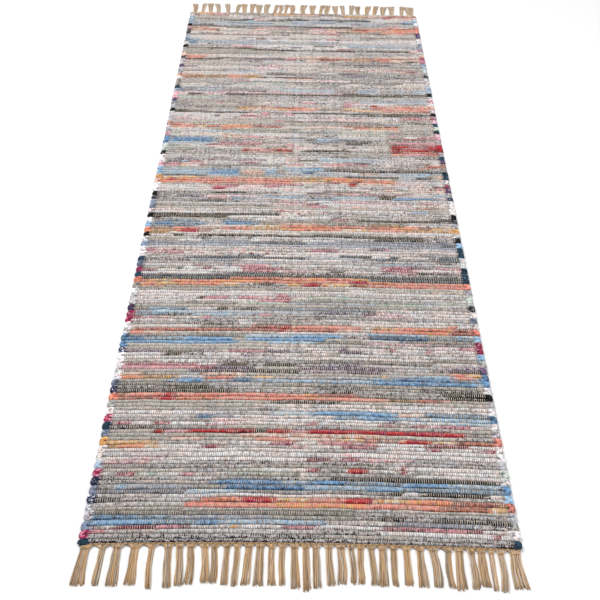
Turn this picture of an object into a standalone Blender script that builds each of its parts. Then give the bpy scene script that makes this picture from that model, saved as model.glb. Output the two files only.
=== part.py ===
"""A flat hand-woven rag runner: a ribbed woven body and a knotted yarn fringe at each end.

X runs across the rug and +Y along it, from the near fringe to the far one. The underside lies
at Z = 0, and the origin is under the middle of the whole length, fringes included.
"""

import math

import bmesh
import bpy

MM = 0.001

# The woven body.
BODY_WIDTH = 700 * MM
BODY_LENGTH = 2000 * MM
RIB_COUNT = 222  # one rib for each rag pick
RIB_CREST = 7.0 * MM
RIB_VALLEY = 5.2 * MM
EDGE_CREST = 4.8 * MM  # height of the selvedge's outer face on a rib
EDGE_VALLEY = 3.8 * MM
SELVEDGE = 9 * MM  # width of the rounded turn of the rags at each side
LOOP_SWELL = 4.5 * MM  # how far a selvedge loop stands out past the dip beside it
PICKS_PER_LOOP = 2
COLUMNS_ACROSS = 3  # straight stretches of a rib between its two selvedges

# How far the ribs bow towards the far end at the middle of the rug.
BOW_NEAR = 7.5 * MM
BOW_MIDDLE = 3.0 * MM
BOW_FAR = 1.0 * MM

# The fringes.
PIECE_GAP = 0.3 * MM
HEADING_DEPTH = 4 * MM  # the band of turned warp ends beside the last pick
HEADING_HEIGHT = 3.6 * MM
HEADING_FRONT_HEIGHT = 2.0 * MM
KNOT_DEPTH = 11 * MM  # from the body's edge to where the strands leave the knot
KNOT_CREST = 6.2 * MM
KNOT_SIDE_CREST = 4.4 * MM
KNOT_CREST_SHARE = 0.6  # where its crest lies between the body's edge and its front
KNOT_FLANK = 1.8 * MM
ROOT_WIDTH = 2.0 * MM
STRAND_HEIGHT = 2.3 * MM
STRAND_GAP = 0.6 * MM
SPREAD_PER_STRAND = 3.4 * MM
FEWEST_STRANDS, MOST_STRANDS = 3, 7
STRAND_BEND = 0.7 * MM  # how far the middle of a strand lies off the straight line
HEADING_END = 3 * MM  # the heading stops this far inside the body's sides

# One row for each tassel, from the left side of the rug, in mm: where its knot lies and where
# the middle of its tips lies, both from the left side; how wide its tips lie; and how far they
# reach past the corner of the body.
NEAR_TASSELS = (
    (12, 10, 22, 75), (39, 37, 11, 74), (62, 62, 17, 75), (90, 90, 17, 73),
    (116, 118, 10, 79), (142, 146, 14, 77), (160, 163, 13, 73), (177, 178, 13, 70),
    (199, 202, 13, 67), (214, 215, 11, 67), (234, 233, 10, 70), (250, 248, 10, 72),
    (268, 265, 14, 70), (286, 285, 14, 71), (304, 306, 11, 70), (321, 322, 10, 70),
    (340, 342, 13, 76), (358, 360, 11, 80), (374, 375, 12, 74), (394, 397, 12, 69),
    (413, 414, 15, 67), (429, 431, 9, 67), (444, 444, 11, 66), (461, 463, 11, 67),
    (479, 477, 15, 70), (496, 496, 10, 69), (516, 516, 12, 67), (537, 539, 14, 70),
    (558, 561, 15, 70), (582, 582, 11, 71), (599, 597, 15, 75), (618, 618, 13, 72),
    (634, 635, 15, 68), (649, 649, 9, 74), (664, 661, 12, 77), (687, 687, 23, 71),
)
FAR_TASSELS = (
    (12, 9, 13, 72), (37, 40, 11, 74), (60, 58, 14, 75), (85, 79, 14, 73),
    (116, 110, 12, 74), (143, 149, 11, 71), (166, 165, 14, 75), (189, 191, 13, 77),
    (211, 211, 16, 73), (234, 237, 15, 76), (260, 267, 10, 73), (276, 283, 11, 72),
    (294, 298, 9, 76), (315, 313, 15, 73), (349, 352, 15, 74), (379, 381, 16, 72),
    (403, 411, 11, 73), (422, 425, 14, 75), (452, 451, 14, 72), (475, 472, 12, 74),
    (499, 504, 12, 78), (521, 522, 12, 73), (548, 556, 15, 72), (571, 581, 13, 76),
    (598, 605, 15, 70), (625, 628, 16, 74), (657, 663, 11, 76), (683, 683, 24, 71),
)

NEAR_REACH = max(row[3] for row in NEAR_TASSELS) * MM
FAR_REACH = max(row[3] for row in FAR_TASSELS) * MM
NEAR_END_Y = (NEAR_REACH - FAR_REACH) / 2 - BODY_LENGTH / 2
FAR_END_Y = NEAR_END_Y + BODY_LENGTH
RIB_PITCH = BODY_LENGTH / RIB_COUNT
SHOULDER_X = BODY_WIDTH / 2 - SELVEDGE


def bow(x, y):
    """How far a rib is shifted towards the far end at this point."""
    along = (y - NEAR_END_Y) / BODY_LENGTH
    near_part = max(0.0, 1 - 2 * along)
    far_part = max(0.0, 2 * along - 1)
    depth = BOW_NEAR * near_part + BOW_FAR * far_part + BOW_MIDDLE * (1 - near_part - far_part)
    return depth * (1 - (2 * x / BODY_WIDTH) ** 2)


def columns():
    """The places across the rug where a rib may bend."""
    inner = [SHOULDER_X * (2 * i / COLUMNS_ACROSS - 1) for i in range(COLUMNS_ACROSS + 1)]
    return [-BODY_WIDTH / 2, *inner, BODY_WIDTH / 2]


def end_line(x, end_y):
    """The body's end edge, which is straight between two columns."""
    places = columns()
    for left, right in zip(places, places[1:]):
        if x <= right:
            break
    share = (x - left) / (right - left)
    return end_y + (1 - share) * bow(left, end_y) + share * bow(right, end_y)


def selvedge_swell(picks_along, side):
    """How far the rag loops push the side out; the two sides' loops join other pairs of picks."""
    phase = picks_along / PICKS_PER_LOOP + (0.5 if side < 0 else 0.0)
    return LOOP_SWELL * math.sqrt(abs(math.sin(math.pi * phase)))


def material(name, colour, roughness):
    made = bpy.data.materials.new(name)
    made.use_nodes = True
    shader = made.node_tree.nodes["Principled BSDF"]
    shader.inputs["Base Color"].default_value = (*colour, 1)
    shader.inputs["Roughness"].default_value = roughness
    shader.inputs["Metallic"].default_value = 0
    return made


def add_object(name, bm, finish):
    """Turns the bmesh into a named object with smooth faces and sharp corners."""
    bmesh.ops.recalc_face_normals(bm, faces=bm.faces)
    mesh = bpy.data.meshes.new(name)
    bm.to_mesh(mesh)
    bm.free()
    mesh.materials.append(finish)
    mesh.shade_smooth()
    mesh.set_sharp_from_angle(angle=math.radians(50))
    made = bpy.data.objects.new(name, mesh)
    bpy.context.scene.collection.objects.link(made)
    return made


def body_row(bm, half_picks):
    """The vertices across the top at a valley (even) or a crest (odd) of the ribs."""
    on_crest = half_picks % 2 == 1
    picks_along = half_picks / 2
    y = NEAR_END_Y + picks_along * RIB_PITCH
    row = []
    for x in columns():
        at_side = abs(x) > SHOULDER_X + MM / 2
        side = math.copysign(1, x)
        if at_side:
            swell = selvedge_swell(picks_along, side)
            row_x = x + side * (swell - LOOP_SWELL / 2)
            z = EDGE_CREST if on_crest else EDGE_VALLEY
        else:
            row_x = x
            z = RIB_CREST if on_crest else RIB_VALLEY
        row.append(bm.verts.new((row_x, y + bow(x, y), z)))
    return row


def dropped(bm, vert):
    """A vertex under this one, on the underside."""
    return bm.verts.new((vert.co.x, vert.co.y, 0))


def woven_body(finish):
    """One slab with a rib for each pick, scalloped selvedges and a flat underside."""
    bm = bmesh.new()
    rows = [body_row(bm, i) for i in range(2 * RIB_COUNT + 1)]
    near = [dropped(bm, v) for v in rows[0]]
    far = [dropped(bm, v) for v in rows[-1]]
    left = [near[0], *(dropped(bm, row[0]) for row in rows[1:-1]), far[0]]
    right = [near[-1], *(dropped(bm, row[-1]) for row in rows[1:-1]), far[-1]]
    for a, b in zip(rows, rows[1:]):
        for i in range(len(a) - 1):
            bm.faces.new((a[i], a[i + 1], b[i + 1], b[i]))
    for top_end, low_end in ((rows[0], near), (rows[-1], far)):
        for i in range(len(top_end) - 1):
            bm.faces.new((top_end[i], top_end[i + 1], low_end[i + 1], low_end[i]))
    for column, low_side in ((0, left), (-1, right)):
        for i in range(len(rows) - 1):
            bm.faces.new((rows[i][column], rows[i + 1][column], low_side[i + 1], low_side[i]))
    bm.faces.new((*near, *right[1:-1], *reversed(far), *reversed(left[1:-1])))
    return add_object("woven_body", bm, finish)


def strand_count(spread):
    return max(FEWEST_STRANDS, min(MOST_STRANDS, round(spread / SPREAD_PER_STRAND)))


def heading_ring(bm, x, end_y, outward, depth, crest, front_height):
    """A cross-section of the heading: two vertices at the back, a crest, and two at the front."""
    back = end_line(x, end_y) + outward * PIECE_GAP
    front = back + outward * depth
    crest_y = back + outward * depth * KNOT_CREST_SHARE
    places = (
        (back, 0),
        (back, HEADING_HEIGHT),
        (crest_y, crest),
        (front, front_height),
        (front, 0),
    )
    return [bm.verts.new((x, y, z)) for y, z in places]


def knot_rings(bm, knot_x, count, end_y, outward):
    """The cross-sections at the edges of a knot's strands."""
    rings = []
    for i in range(count + 1):
        across = 2 * i / count - 1
        crest = KNOT_CREST + (KNOT_SIDE_CREST - KNOT_CREST) * across**2
        x = knot_x + across * count * ROOT_WIDTH / 2
        rings.append(
            heading_ring(bm, x, end_y, outward, KNOT_DEPTH, crest, STRAND_HEIGHT)
        )
    return rings


def add_strand(bm, left_ring, right_ring, tip, width, bend):
    """A four-sided strand, from the front of the knot between two rings to its tip."""
    section = [left_ring[3], right_ring[3], right_ring[4], left_ring[4]]
    root_x = (section[0].co.x + section[1].co.x) / 2
    root_y = (section[0].co.y + section[1].co.y) / 2
    for share in (0.5, 1.0):
        x = root_x + share * (tip[0] - root_x) + (bend if share < 1 else 0)
        y = root_y + share * (tip[1] - root_y)
        half = (ROOT_WIDTH + share * (width - ROOT_WIDTH)) / 2
        corners = (
            (x - half, y, STRAND_HEIGHT),
            (x + half, y, STRAND_HEIGHT),
            (x + half, y, 0),
            (x - half, y, 0),
        )
        following = [bm.verts.new(corner) for corner in corners]
        for i in range(4):
            j = (i + 1) % 4
            bm.faces.new((section[i], section[j], following[j], following[i]))
        section = following
    bm.faces.new(section)


def fringe(name, tassels, end_y, outward, finish):
    """A heading beside the body's end, with a knot and loose strands for each tassel."""
    bm = bmesh.new()
    flat = (end_y, outward, HEADING_DEPTH, HEADING_HEIGHT, HEADING_FRONT_HEIGHT)
    half_heading = BODY_WIDTH / 2 - HEADING_END
    rings = [heading_ring(bm, -half_heading, *flat)]
    open_fronts = set()
    for index, (knot, tip, spread, reach) in enumerate(tassels):
        knot_x = knot * MM - BODY_WIDTH / 2
        count = strand_count(spread * MM)
        half_knot = count * ROOT_WIDTH / 2
        flank = half_knot + KNOT_FLANK
        if knot_x - flank > -half_heading:
            rings.append(heading_ring(bm, knot_x - flank, *flat))
        first = len(rings)
        rings += knot_rings(bm, knot_x, count, end_y, outward)
        if knot_x + flank < half_heading:
            rings.append(heading_ring(bm, knot_x + flank, *flat))
        pitch = spread * MM / count
        for i in range(count):
            place = i - (count - 1) / 2
            stagger = (index + 2 * i) % 3 * MM
            tip_x = tip * MM - BODY_WIDTH / 2 + place * pitch
            tip_y = end_y + outward * (reach * MM - stagger)
            bend = STRAND_BEND * math.sin(2.4 * index)
            add_strand(
                bm, rings[first + i], rings[first + i + 1],
                (tip_x, tip_y), pitch - STRAND_GAP, bend,
            )
            open_fronts.add(first + i)
    rings.append(heading_ring(bm, half_heading, *flat))
    for i, (a, b) in enumerate(zip(rings, rings[1:])):
        for j in range(5):
            k = (j + 1) % 5
            if not (j == 3 and i in open_fronts):
                bm.faces.new((a[j], a[k], b[k], b[j]))
    bm.faces.new(rings[0])
    bm.faces.new(rings[-1])
    return add_object(name, bm, finish)


def main():
    for old in list(bpy.data.objects):
        bpy.data.objects.remove(old)
    rag = material("woven_rag", (0.46, 0.43, 0.40), 0.9)
    yarn = material("tan_yarn", (0.42, 0.29, 0.16), 0.95)
    woven_body(rag)
    fringe("fringe_near", NEAR_TASSELS, NEAR_END_Y, -1, yarn)
    fringe("fringe_far", FAR_TASSELS, FAR_END_Y, 1, yarn)


main()
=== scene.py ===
"""A hand-woven rag runner on a pale floor: rag picks, yarn warps, knotted fringes and the stage."""

import math
import random
from collections import namedtuple
from typing import NamedTuple

import bpy
import numpy as np
from bpy.props import FloatProperty, FloatVectorProperty, IntProperty, PointerProperty
from bpy.types import Operator, Panel, PropertyGroup
from mathutils import Matrix, Vector


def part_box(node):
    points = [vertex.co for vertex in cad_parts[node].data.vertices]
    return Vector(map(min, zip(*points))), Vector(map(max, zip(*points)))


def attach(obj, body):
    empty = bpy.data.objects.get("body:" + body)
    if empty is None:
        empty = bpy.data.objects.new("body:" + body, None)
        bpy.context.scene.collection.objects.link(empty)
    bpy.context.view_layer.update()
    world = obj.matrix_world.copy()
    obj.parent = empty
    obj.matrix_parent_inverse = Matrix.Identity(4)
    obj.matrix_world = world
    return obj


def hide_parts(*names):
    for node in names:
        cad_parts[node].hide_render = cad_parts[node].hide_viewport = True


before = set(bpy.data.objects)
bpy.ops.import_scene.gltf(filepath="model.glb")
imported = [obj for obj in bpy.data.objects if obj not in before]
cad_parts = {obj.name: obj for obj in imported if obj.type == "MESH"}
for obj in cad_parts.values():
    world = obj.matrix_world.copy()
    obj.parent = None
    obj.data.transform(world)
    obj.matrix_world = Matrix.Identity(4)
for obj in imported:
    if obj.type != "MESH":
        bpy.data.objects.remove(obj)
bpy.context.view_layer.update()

bl_info = {
    "name": "Rag rug",
    "version": (1, 0, 0),
    "blender": (4, 5, 0),
    "location": "3D View > Sidebar > Rag rug",
    "description": "Weaves a rag runner with knotted fringes and lights it on a plain floor",
    "category": "Object",
}

MM = 0.001
CM = 0.01
MAIN_PIECE = "rags_undyed"
BODY_NODE, NEAR_NODE, FAR_NODE = "woven_body", "fringe_near", "fringe_far"
BODY_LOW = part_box(BODY_NODE)[0]
BODY_WIDTH = 700 * MM
BODY_LENGTH = 2000 * MM
NEAR_END_Y = BODY_LOW[1]
FAR_END_Y = NEAR_END_Y + BODY_LENGTH
LAYOUT_SEED, RAG_SEED, WARP_SEED, FRINGE_SEED = 5, 11, 3, 21
BOW_NEAR, BOW_MIDDLE, BOW_FAR = 7.5 * MM, 3.0 * MM, 1.0 * MM  # of the picks, towards the far end


class Fabric(NamedTuple):
    """A kind of rag: its piece and its two colours, how much of it the second takes in patches of
    this size and softness, how strong its painted specks of shadow and its painted glints are, and
    how thick it is beside a common rag."""

    piece: str
    ground: str
    accent: str
    share: float
    patch_mm: float
    softness: float
    painted_specks: float
    bulk: float = 1.0


FABRICS = {
    "white": Fabric(MAIN_PIECE, "white", "pale", 0.28, 4, 0.24, 0.46),
    "greige": Fabric(MAIN_PIECE, "greige", "cream", 0.28, 3.6, 0.24, 0.58, 0.95),
    "cream": Fabric("rags_cream", "cream", "pale", 0.28, 4, 0.24, 0.46),
    "pale": Fabric("rags_pale", "pale", "white", 0.32, 4, 0.25, 0.52),
    "print": Fabric("rags_print", "cream", "crimson", 0.28, 5, 0.16, 0.36),
    "mint": Fabric("rags_mint", "frost", "leaf", 0.42, 6, 0.30, 0.40),
    "fleck": Fabric("rags_fleck", "pale", "smoke", 0.37, 3.8, 0.06, 0.62, 0.92),
    "charcoal": Fabric("rags_charcoal", "smoke", "pale", 0.48, 4.2, 0.04, 0.60),
    "black": Fabric("rags_black", "black", "pale", 0.14, 4.2, 0.06, 0.20, 1.05),
    "navy": Fabric("rags_navy", "navy", "white", 0.44, 4, 0.06, 0.50),
    "steel": Fabric("rags_steel", "steel", "pale", 0.34, 4, 0.20, 0.50),
    "teal": Fabric("rags_teal", "slate", "steel", 0.26, 4, 0.10, 0.50),
    "denim": Fabric("rags_denim", "denim", "sky", 0.36, 4, 0.12, 0.46, 1.25),
    "sky": Fabric("rags_sky", "sky", "frost", 0.34, 3.6, 0.18, 0.46, 1.1),
    "orange": Fabric("rags_orange", "orange", "ochre", 0.30, 7, 0.25, 0.34, 1.25),
    "coral": Fabric("rags_coral", "coral", "peach", 0.34, 6, 0.25, 0.36, 1.2),
    "ochre": Fabric("rags_ochre", "ochre", "cream", 0.32, 7, 0.25, 0.36, 1.1),
    "red": Fabric("rags_red", "red", "crimson", 0.28, 7, 0.20, 0.30, 1.35),
    "crimson": Fabric("rags_crimson", "crimson", "rose", 0.52, 5, 0.12, 0.40),
    "pink": Fabric("rags_pink", "rose", "white", 0.48, 5, 0.30, 0.40),
    "plum": Fabric("rags_plum", "plum", "pale", 0.44, 4, 0.08, 0.55),
    "peach": Fabric("rags_peach", "peach", "cream", 0.42, 6, 0.30, 0.42, 1.1),
    "dusty": Fabric("rags_dusty", "crimson", "rose", 0.66, 3.5, 0.20, 0.45),
    "haze": Fabric("rags_haze", "haze", "pale", 0.36, 4, 0.25, 0.50),
}

# The weaver's chart: a row for each pick, from the far end. It names the rags along the pick from
# the left side, each with the place in cm where it gives way to the next.
CHART = (
    "peach 2 ochre 5 peach 12 cream 26 ochre 32 peach 40 greige 46 cream",
    "ochre 3 peach 6 coral 8 dusty 12 greige 20 cream 26 ochre 32 peach 40 greige 48 ochre 55 peach 60 "
    "coral 68 peach",
    "cream 12 white 20 cream 40 white 47 ochre 55 peach 59 coral 62 peach 66 coral 69 peach",
    "cream 14 white 20 mint 25 white 60 dusty 62 white",
    "haze 3 greige 12 pale 20 dusty 22 pale 30 charcoal 36 pale 40 haze 55 white 66 haze",
    "haze 2 charcoal 12 greige 16 black 20 pink 24 charcoal 30 black 37 charcoal 40 black 56 white 64 "
    "pale 67 sky",
    "haze 2 mint 6 fleck 12 charcoal 18 sky 20 charcoal 30 haze 46 charcoal 48 haze 56 pale 60 mint 65 "
    "denim 69 denim",
    "haze 4 pale 12 haze 14 sky 27 mint 30 haze 38 sky 45 haze 62 mint 65 teal",
    "sky 3 haze 12 sky 26 mint 31 denim 34 haze 50 dusty 53 haze 60 pale",
    "haze 3 plum 8 haze 38 pale 50 haze 56 pale 60 pink 65 haze",
    "black 9 charcoal 20 charcoal 31 charcoal 37 black 45 black 50 greige 58 pink 63 peach 67 mint",
    "charcoal 6 charcoal 11 black 15 black 18 fleck 30 charcoal 36 black 41 charcoal 44 black 50 "
    "peach 60 coral",
    "ochre 3 coral 6 peach 12 greige 21 dusty 31 greige 37 dusty 42 peach 50 orange 55 coral 62 "
    "orange 66 coral",
    "peach 5 coral 10 cream 20 peach 24 cream 37 pink 42 peach 50 coral 56 peach 62 coral",
    "peach 9 black 10 cream 38 peach 45 charcoal 49 ochre 54 fleck 58 coral 66 peach",
    "white 4 cream 14 print 20 pink 25 greige 28 charcoal 36 pink 42 dusty 46 greige 57 charcoal 60 "
    "peach 66 greige",
    "pale 4 charcoal 8 greige 11 print 20 pink 24 cream 38 greige 42 dusty 46 pale",
    "fleck 8 dusty 11 greige 25 pale 29 charcoal 31 cream 45 pale",
    "cream 45 pale 52 greige",
    "cream 16 greige 21 pale 24 greige 50 pale 52 fleck 57 greige",
    "cream 16 charcoal 18 white 21 dusty 24 pale 26 plum 28 white 31 plum 33 white 36 plum 40 white 42 "
    "dusty 45 black 46 pink 50 white 52 fleck 56 white",
    "sky 5 white 16 haze 25 white",
    "sky 4 haze 30 mint 36 haze 44 fleck 46 white 60 pale 66 white",
    "denim 4 sky 8 haze 42 pale 48 haze 52 pale 58 haze 62 pale",
    "sky 4 pale 7 plum 8 haze 24 pale 36 mint 42 pale 47 haze",
    "white 14 pink 20 white 38 charcoal 44 white 48 sky 62 haze",
    "white 14 pink 17 dusty 21 white 26 plum 29 white 31 plum 35 white 46 pink 49 white 67 pink",
    "greige 7 black 12 black 14 plum 16 black 21 charcoal 26 white 45 pink 50 fleck 52 white 66 pink",
    "greige 8 charcoal 9 greige 20 black 24 black 28 black 33 charcoal 40 black 44 black 50 charcoal 53 "
    "black 60 black 64 black 66 peach 68 pink",
    "greige 10 fleck 15 greige 50 pale 66 dusty 68 pale",
    "greige 30 pale 50 fleck 62 pale",
    "greige 25 mint 35 pale 50 fleck 62 pale",
    "peach 8 cream 15 pale 36 peach 42 pale 60 peach 69 coral",
    "dusty 2 coral 8 cream 30 peach 50 ochre 56 coral 60 peach 68 coral",
    "coral 7 cream 10 charcoal 15 charcoal 18 plum 20 charcoal 30 dusty 33 peach 39 coral 49 peach 54 "
    "coral 60 peach",
    "black 9 black 12 greige 15 fleck 20 plum 30 dusty 33 charcoal 36 peach 40 coral 45 peach 49 "
    "ochre 54 charcoal 57 coral 60 ochre 64 charcoal 68 peach",
    "pink 4 fleck 8 greige 14 fleck 24 pale 35 fleck 36 peach 39 pale 46 fleck 54 charcoal 57 fleck 66 "
    "pale",
    "plum 2 greige 14 pale 20 fleck 27 pale 43 black 45 pale",
    "greige 28 cream 42 fleck 46 charcoal 60 pale",
    "pink 3 pale 20 fleck 25 pink 30 greige 44 fleck 60 greige",
    "plum 5 cream 22 pink 27 cream 40 greige",
    "cream 21 pink 28 cream 40 print 60 pink 66 greige",
    "greige 12 fleck 20 pale 30 print 46 pink 51 charcoal 53 pink 64 dusty 67 pink",
    "greige 14 haze 22 pale 40 greige",
    "pale 25 charcoal 29 pale 35 fleck 40 pale 45 plum 50 fleck 60 charcoal 66 fleck",
    "peach 8 cream 22 pale 25 charcoal 33 pale 44 charcoal 46 plum 53 fleck",
    "coral 3 ochre 8 peach 14 coral 18 ochre 23 white 33 pale 44 charcoal 45 greige 47 plum 52 fleck 60 "
    "charcoal 66 fleck",
    "coral 2 ochre 14 coral 18 ochre 23 black 25 charcoal 27 black 34 black 38 pale 41 fleck 46 pale 54 "
    "fleck",
    "peach 9 cream 20 pink 24 white 30 peach 38 white 54 fleck 58 pale",
    "white 15 pink 20 white 38 pink 48 white 60 pale",
    "pale 17 fleck 19 greige 24 charcoal 26 greige 61 black 62 white",
    "greige 9 fleck 18 mint 30 charcoal 36 greige 40 fleck 47 cream 52 fleck 60 cream",
    "cream 10 fleck 16 cream 35 mint 45 cream",
    "pale 8 fleck 9 pale 30 cream 40 fleck 45 pale 50 fleck 63 cream",
    "haze 4 sky 5 haze 13 pale 25 mint 30 haze 34 pale 50 haze 56 pale 66 haze",
    "sky 3 pale 6 haze 13 pale 26 haze 30 sky 38 haze 44 pale 50 sky 55 pale 57 fleck 59 haze 65 sky",
    "sky 2 haze 13 pink 17 charcoal 19 pink 20 black 21 plum 24 black 25 pink 30 haze 44 pink 50 "
    "haze 56 pale 66 haze",
    "sky 2 pink 46 black 50 black 52 charcoal 56 charcoal 60 black 63 black 66 black",
    "pink 4 black 8 pink 14 black 17 black 21 black 30 charcoal 38 black 45 black 56 black 59 black 62 "
    "charcoal",
    "mint 4 fleck 9 mint 13 fleck 45 pale 50 mint 57 greige",
    "mint 10 haze 14 pale 45 mint 56 pale 60 haze",
    "greige 22 white 50 haze",
    "pale 17 greige 20 pale 35 pink 37 white 46 pink 50 haze",
    "greige 12 dusty 14 greige 23 print 30 white 35 dusty 38 plum 41 white 46 dusty 48 pink 51 white 60 "
    "fleck 68 cream",
    "greige 4 charcoal 5 greige 18 pink 22 pale 27 haze 31 white 46 dusty 48 pale 53 red 55 pink 57 "
    "peach",
    "fleck 10 greige 23 peach 27 greige 40 cream 46 dusty 48 cream 53 coral 57 peach 60 coral",
    "fleck 7 charcoal 8 greige 18 ochre 23 peach 27 dusty 31 coral 36 peach 40 cream 46 ochre 50 "
    "cream 53 dusty 56 coral",
    "greige 18 ochre 22 peach 27 ochre 31 coral 39 greige 42 peach 48 ochre 56 peach 66 coral",
    "black 5 greige 7 plum 9 pale 50 greige 56 peach 62 greige",
    "black 6 black 9 black 19 black 21 dusty 22 charcoal 24 dusty 26 charcoal 30 dusty 32 black 34 "
    "black 38 black 47 charcoal 52 charcoal 57 black 62 black",
    "white 20 pink 24 dusty 26 white 30 dusty 33 white 47 fleck 52 black 54 pale 56 black 61 plum 66 "
    "charcoal",
    "white 12 plum 13 white 19 dusty 23 pink 27 white 61 dusty 66 pink",
    "white 2 pink 6 white 18 pink 24 pale 42 pink 52 white 60 pink",
    "pink 10 pale 14 greige 33 pink 50 cream 60 white",
    "greige 28 dusty 30 greige 55 cream 61 charcoal",
    "greige 44 charcoal 48 fleck 52 haze 57 steel 60 greige",
    "coral 4 peach 10 greige 16 peach 22 fleck 30 charcoal 32 fleck 45 peach 60 greige",
    "coral 3 coral 8 ochre 10 coral 14 orange 22 coral 30 cream 36 peach 48 coral 52 ochre 56 coral 60 "
    "pale",
    "peach 10 greige 14 coral 17 peach 22 greige 26 cream 48 peach 60 greige",
    "white 12 mint 34 cream 55 mint 58 pale 60 greige",
    "greige 5 haze 20 mint 34 haze 45 mint 57 fleck",
    "mint 4 cream 20 pale 36 charcoal 37 cream 57 pink 60 greige 67 pink",
    "cream 15 peach 19 pink 22 cream 36 fleck 37 cream 40 charcoal 43 cream 55 greige 61 pink 65 "
    "dusty",
    "plum 2 pale 15 peach 21 dusty 24 pink 30 haze 36 white 39 haze 47 pale 57 greige 60 coral 66 "
    "fleck",
    "plum 2 denim 13 fleck 24 pale 32 haze 36 charcoal 38 sky 44 teal 49 fleck 66 greige",
    "haze 2 denim 13 fleck 16 charcoal 24 greige 36 haze 45 greige 46 charcoal 50 black 52 greige 57 "
    "dusty",
    "sky 12 pale 14 dusty 18 pink 20 dusty 25 pale 31 pink 33 pale 38 charcoal 39 pale 46 black 50 "
    "charcoal 52 greige 57 dusty 63 pink 66 dusty",
    "pale 11 dusty 14 pink 19 dusty 24 pale 31 dusty 33 cream 43 charcoal 44 pale 57 red 62 dusty 66 "
    "red",
    "mint 4 cream 11 pink 16 cream 30 black 31 pink 38 cream 47 charcoal 48 cream 57 red 60 crimson 66 "
    "red",
    "mint 12 charcoal 13 cream 20 peach 26 black 27 peach 33 cream 45 charcoal 46 white 54 greige 57 "
    "red 60 red 67 red",
    "fleck 4 greige 8 fleck 16 greige 20 red 22 crimson 28 red 33 cream 35 black 47 white 54 fleck 57 "
    "red 60 coral",
    "greige 2 fleck 20 peach 33 cream 35 fleck 47 greige 57 coral 60 dusty 66 coral",
    "white 66 pale",
    "white 40 pale 42 charcoal 46 fleck 52 charcoal 57 pale 63 charcoal 67 fleck",
    "pale 12 fleck 18 white 31 pink 34 white 39 sky 45 haze 54 white",
    "fleck 4 plum 8 fleck 12 dusty 14 pale 20 plum 26 white 31 peach 34 charcoal 39 sky 50 haze 55 "
    "pale",
    "pink 2 plum 5 haze 8 dusty 10 pale 20 pink 25 white 45 pink 48 plum 51 white 62 greige 66 peach",
    "pink 3 dusty 5 pink 12 white 20 plum 25 white 31 dusty 35 white 40 dusty 46 pink 48 dusty 51 "
    "plum 54 white 57 fleck 65 coral",
    "pink 2 dusty 5 ochre 8 pink 10 greige 30 cream 38 print 44 greige 50 cream 62 peach 67 pink",
    "mint 8 greige 15 charcoal 17 pale 30 sky 35 denim 40 fleck 48 charcoal 58 pale 66 fleck",
    "haze 12 sky 20 greige 26 sky 29 pale 31 sky 41 black 46 black 53 black 56 black 60 black 65 "
    "teal",
    "sky 13 denim 20 peach 26 sky 29 pale 31 haze 35 denim 38 haze 43 pale 49 peach 53 haze 59 sky 66 "
    "haze",
    "sky 12 denim 20 peach 26 sky 29 plum 34 haze 50 pale 59 sky 65 greige 67 peach",
    "teal 12 haze 20 greige 26 sky 29 greige 45 teal 58 haze 62 teal 66 greige",
    "ochre 10 peach 33 ochre 40 orange 50 peach 57 pale",
    "orange 3 red 5 orange 9 coral 33 ochre 42 orange 47 coral 50 orange 57 pale",
    "orange 8 coral 33 peach 41 dusty 44 peach 46 red 48 peach 57 pink 64 white",
    "white 12 peach 27 dusty 35 cream 39 white 46 red 48 cream 60 white 66 dusty",
    "white 14 crimson 16 dusty 20 pink 26 dusty 30 white 55 pink 57 white 60 print 66 dusty 68 pink",
    "white 14 red 17 pink 34 white 49 pink 51 white 54 peach 57 pale 60 print 66 peach",
    "white 40 greige 50 print 55 cream",
    "charcoal 10 fleck 14 black 22 fleck 26 charcoal 30 pale 36 plum 40 pink 60 pale 66 sky",
    "fleck 25 pale 36 charcoal 43 fleck 53 black 57 pale",
    "charcoal 4 greige 6 plum 12 pink 25 sky 35 charcoal 42 sky 53 black 56 denim 66 plum",
    "charcoal 5 steel 13 pink 18 sky 24 pale 36 sky 43 pale 60 white",
    "greige 5 pale 11 teal 17 fleck 21 pale 29 pink 36 white 42 pink 56 white 62 pink 67 white",
    "pale 28 pink 36 dusty 39 white 56 pink 60 print",
    "greige 24 charcoal 27 greige 36 dusty 41 pale 45 peach 50 pale 61 peach 66 greige",
    "greige",
    "print 8 white 28 print 34 white 60 sky 64 white",
    "white 20 pale 28 charcoal 30 print 41 charcoal 46 white",
    "black 20 black 30 white 34 fleck 37 white 56 print 60 white",
    "black 18 white 42 plum 43 white 66 black",
    "charcoal 3 pale 8 greige 15 cream 24 white 30 print 32 white 42 dusty 45 white 47 black 66 "
    "charcoal",
    "pale 4 sky 12 white 17 sky 25 greige 58 pale",
    "sky 2 denim 6 sky 14 pale 17 denim 25 greige 30 peach 38 greige 50 ochre 58 peach 63 cream",
    "sky 12 cream 24 ochre 30 orange 41 coral 55 orange 61 coral 64 ochre",
    "peach 6 coral 12 peach 17 coral 24 ochre 32 orange 44 ochre 50 coral 58 ochre",
    "ochre 7 red 12 peach 15 cream 58 white",
    "ochre 5 cream 35 mint 50 cream",
    "white 6 black 9 pale 12 black 22 black 35 black 62 charcoal",
    "greige 11 charcoal 15 white 23 black 24 pale 50 black 62 charcoal",
    "print 8 white 13 steel 24 white 28 fleck 35 white 42 haze 55 steel",
    "steel 12 steel 24 teal 36 steel 66 teal",
    "steel 12 haze 29 steel 36 haze 54 steel 69 white",
    "pale 20 print 26 pale 50 plum 53 crimson 54 pale",
    "dusty 3 pink 6 print 20 pink 23 cream 36 dusty 43 cream 50 pale",
    "pink 6 dusty 9 print 30 pale 32 white 54 print 60 pale",
    "white 10 pale 22 teal 27 white 43 teal 50 white 54 teal 56 white 63 teal",
    "white 4 pale 10 teal 36 haze 48 pale 50 teal 56 pale 64 teal",
    "steel 2 charcoal 10 haze 22 white 45 pale 64 charcoal 68 white",
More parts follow.
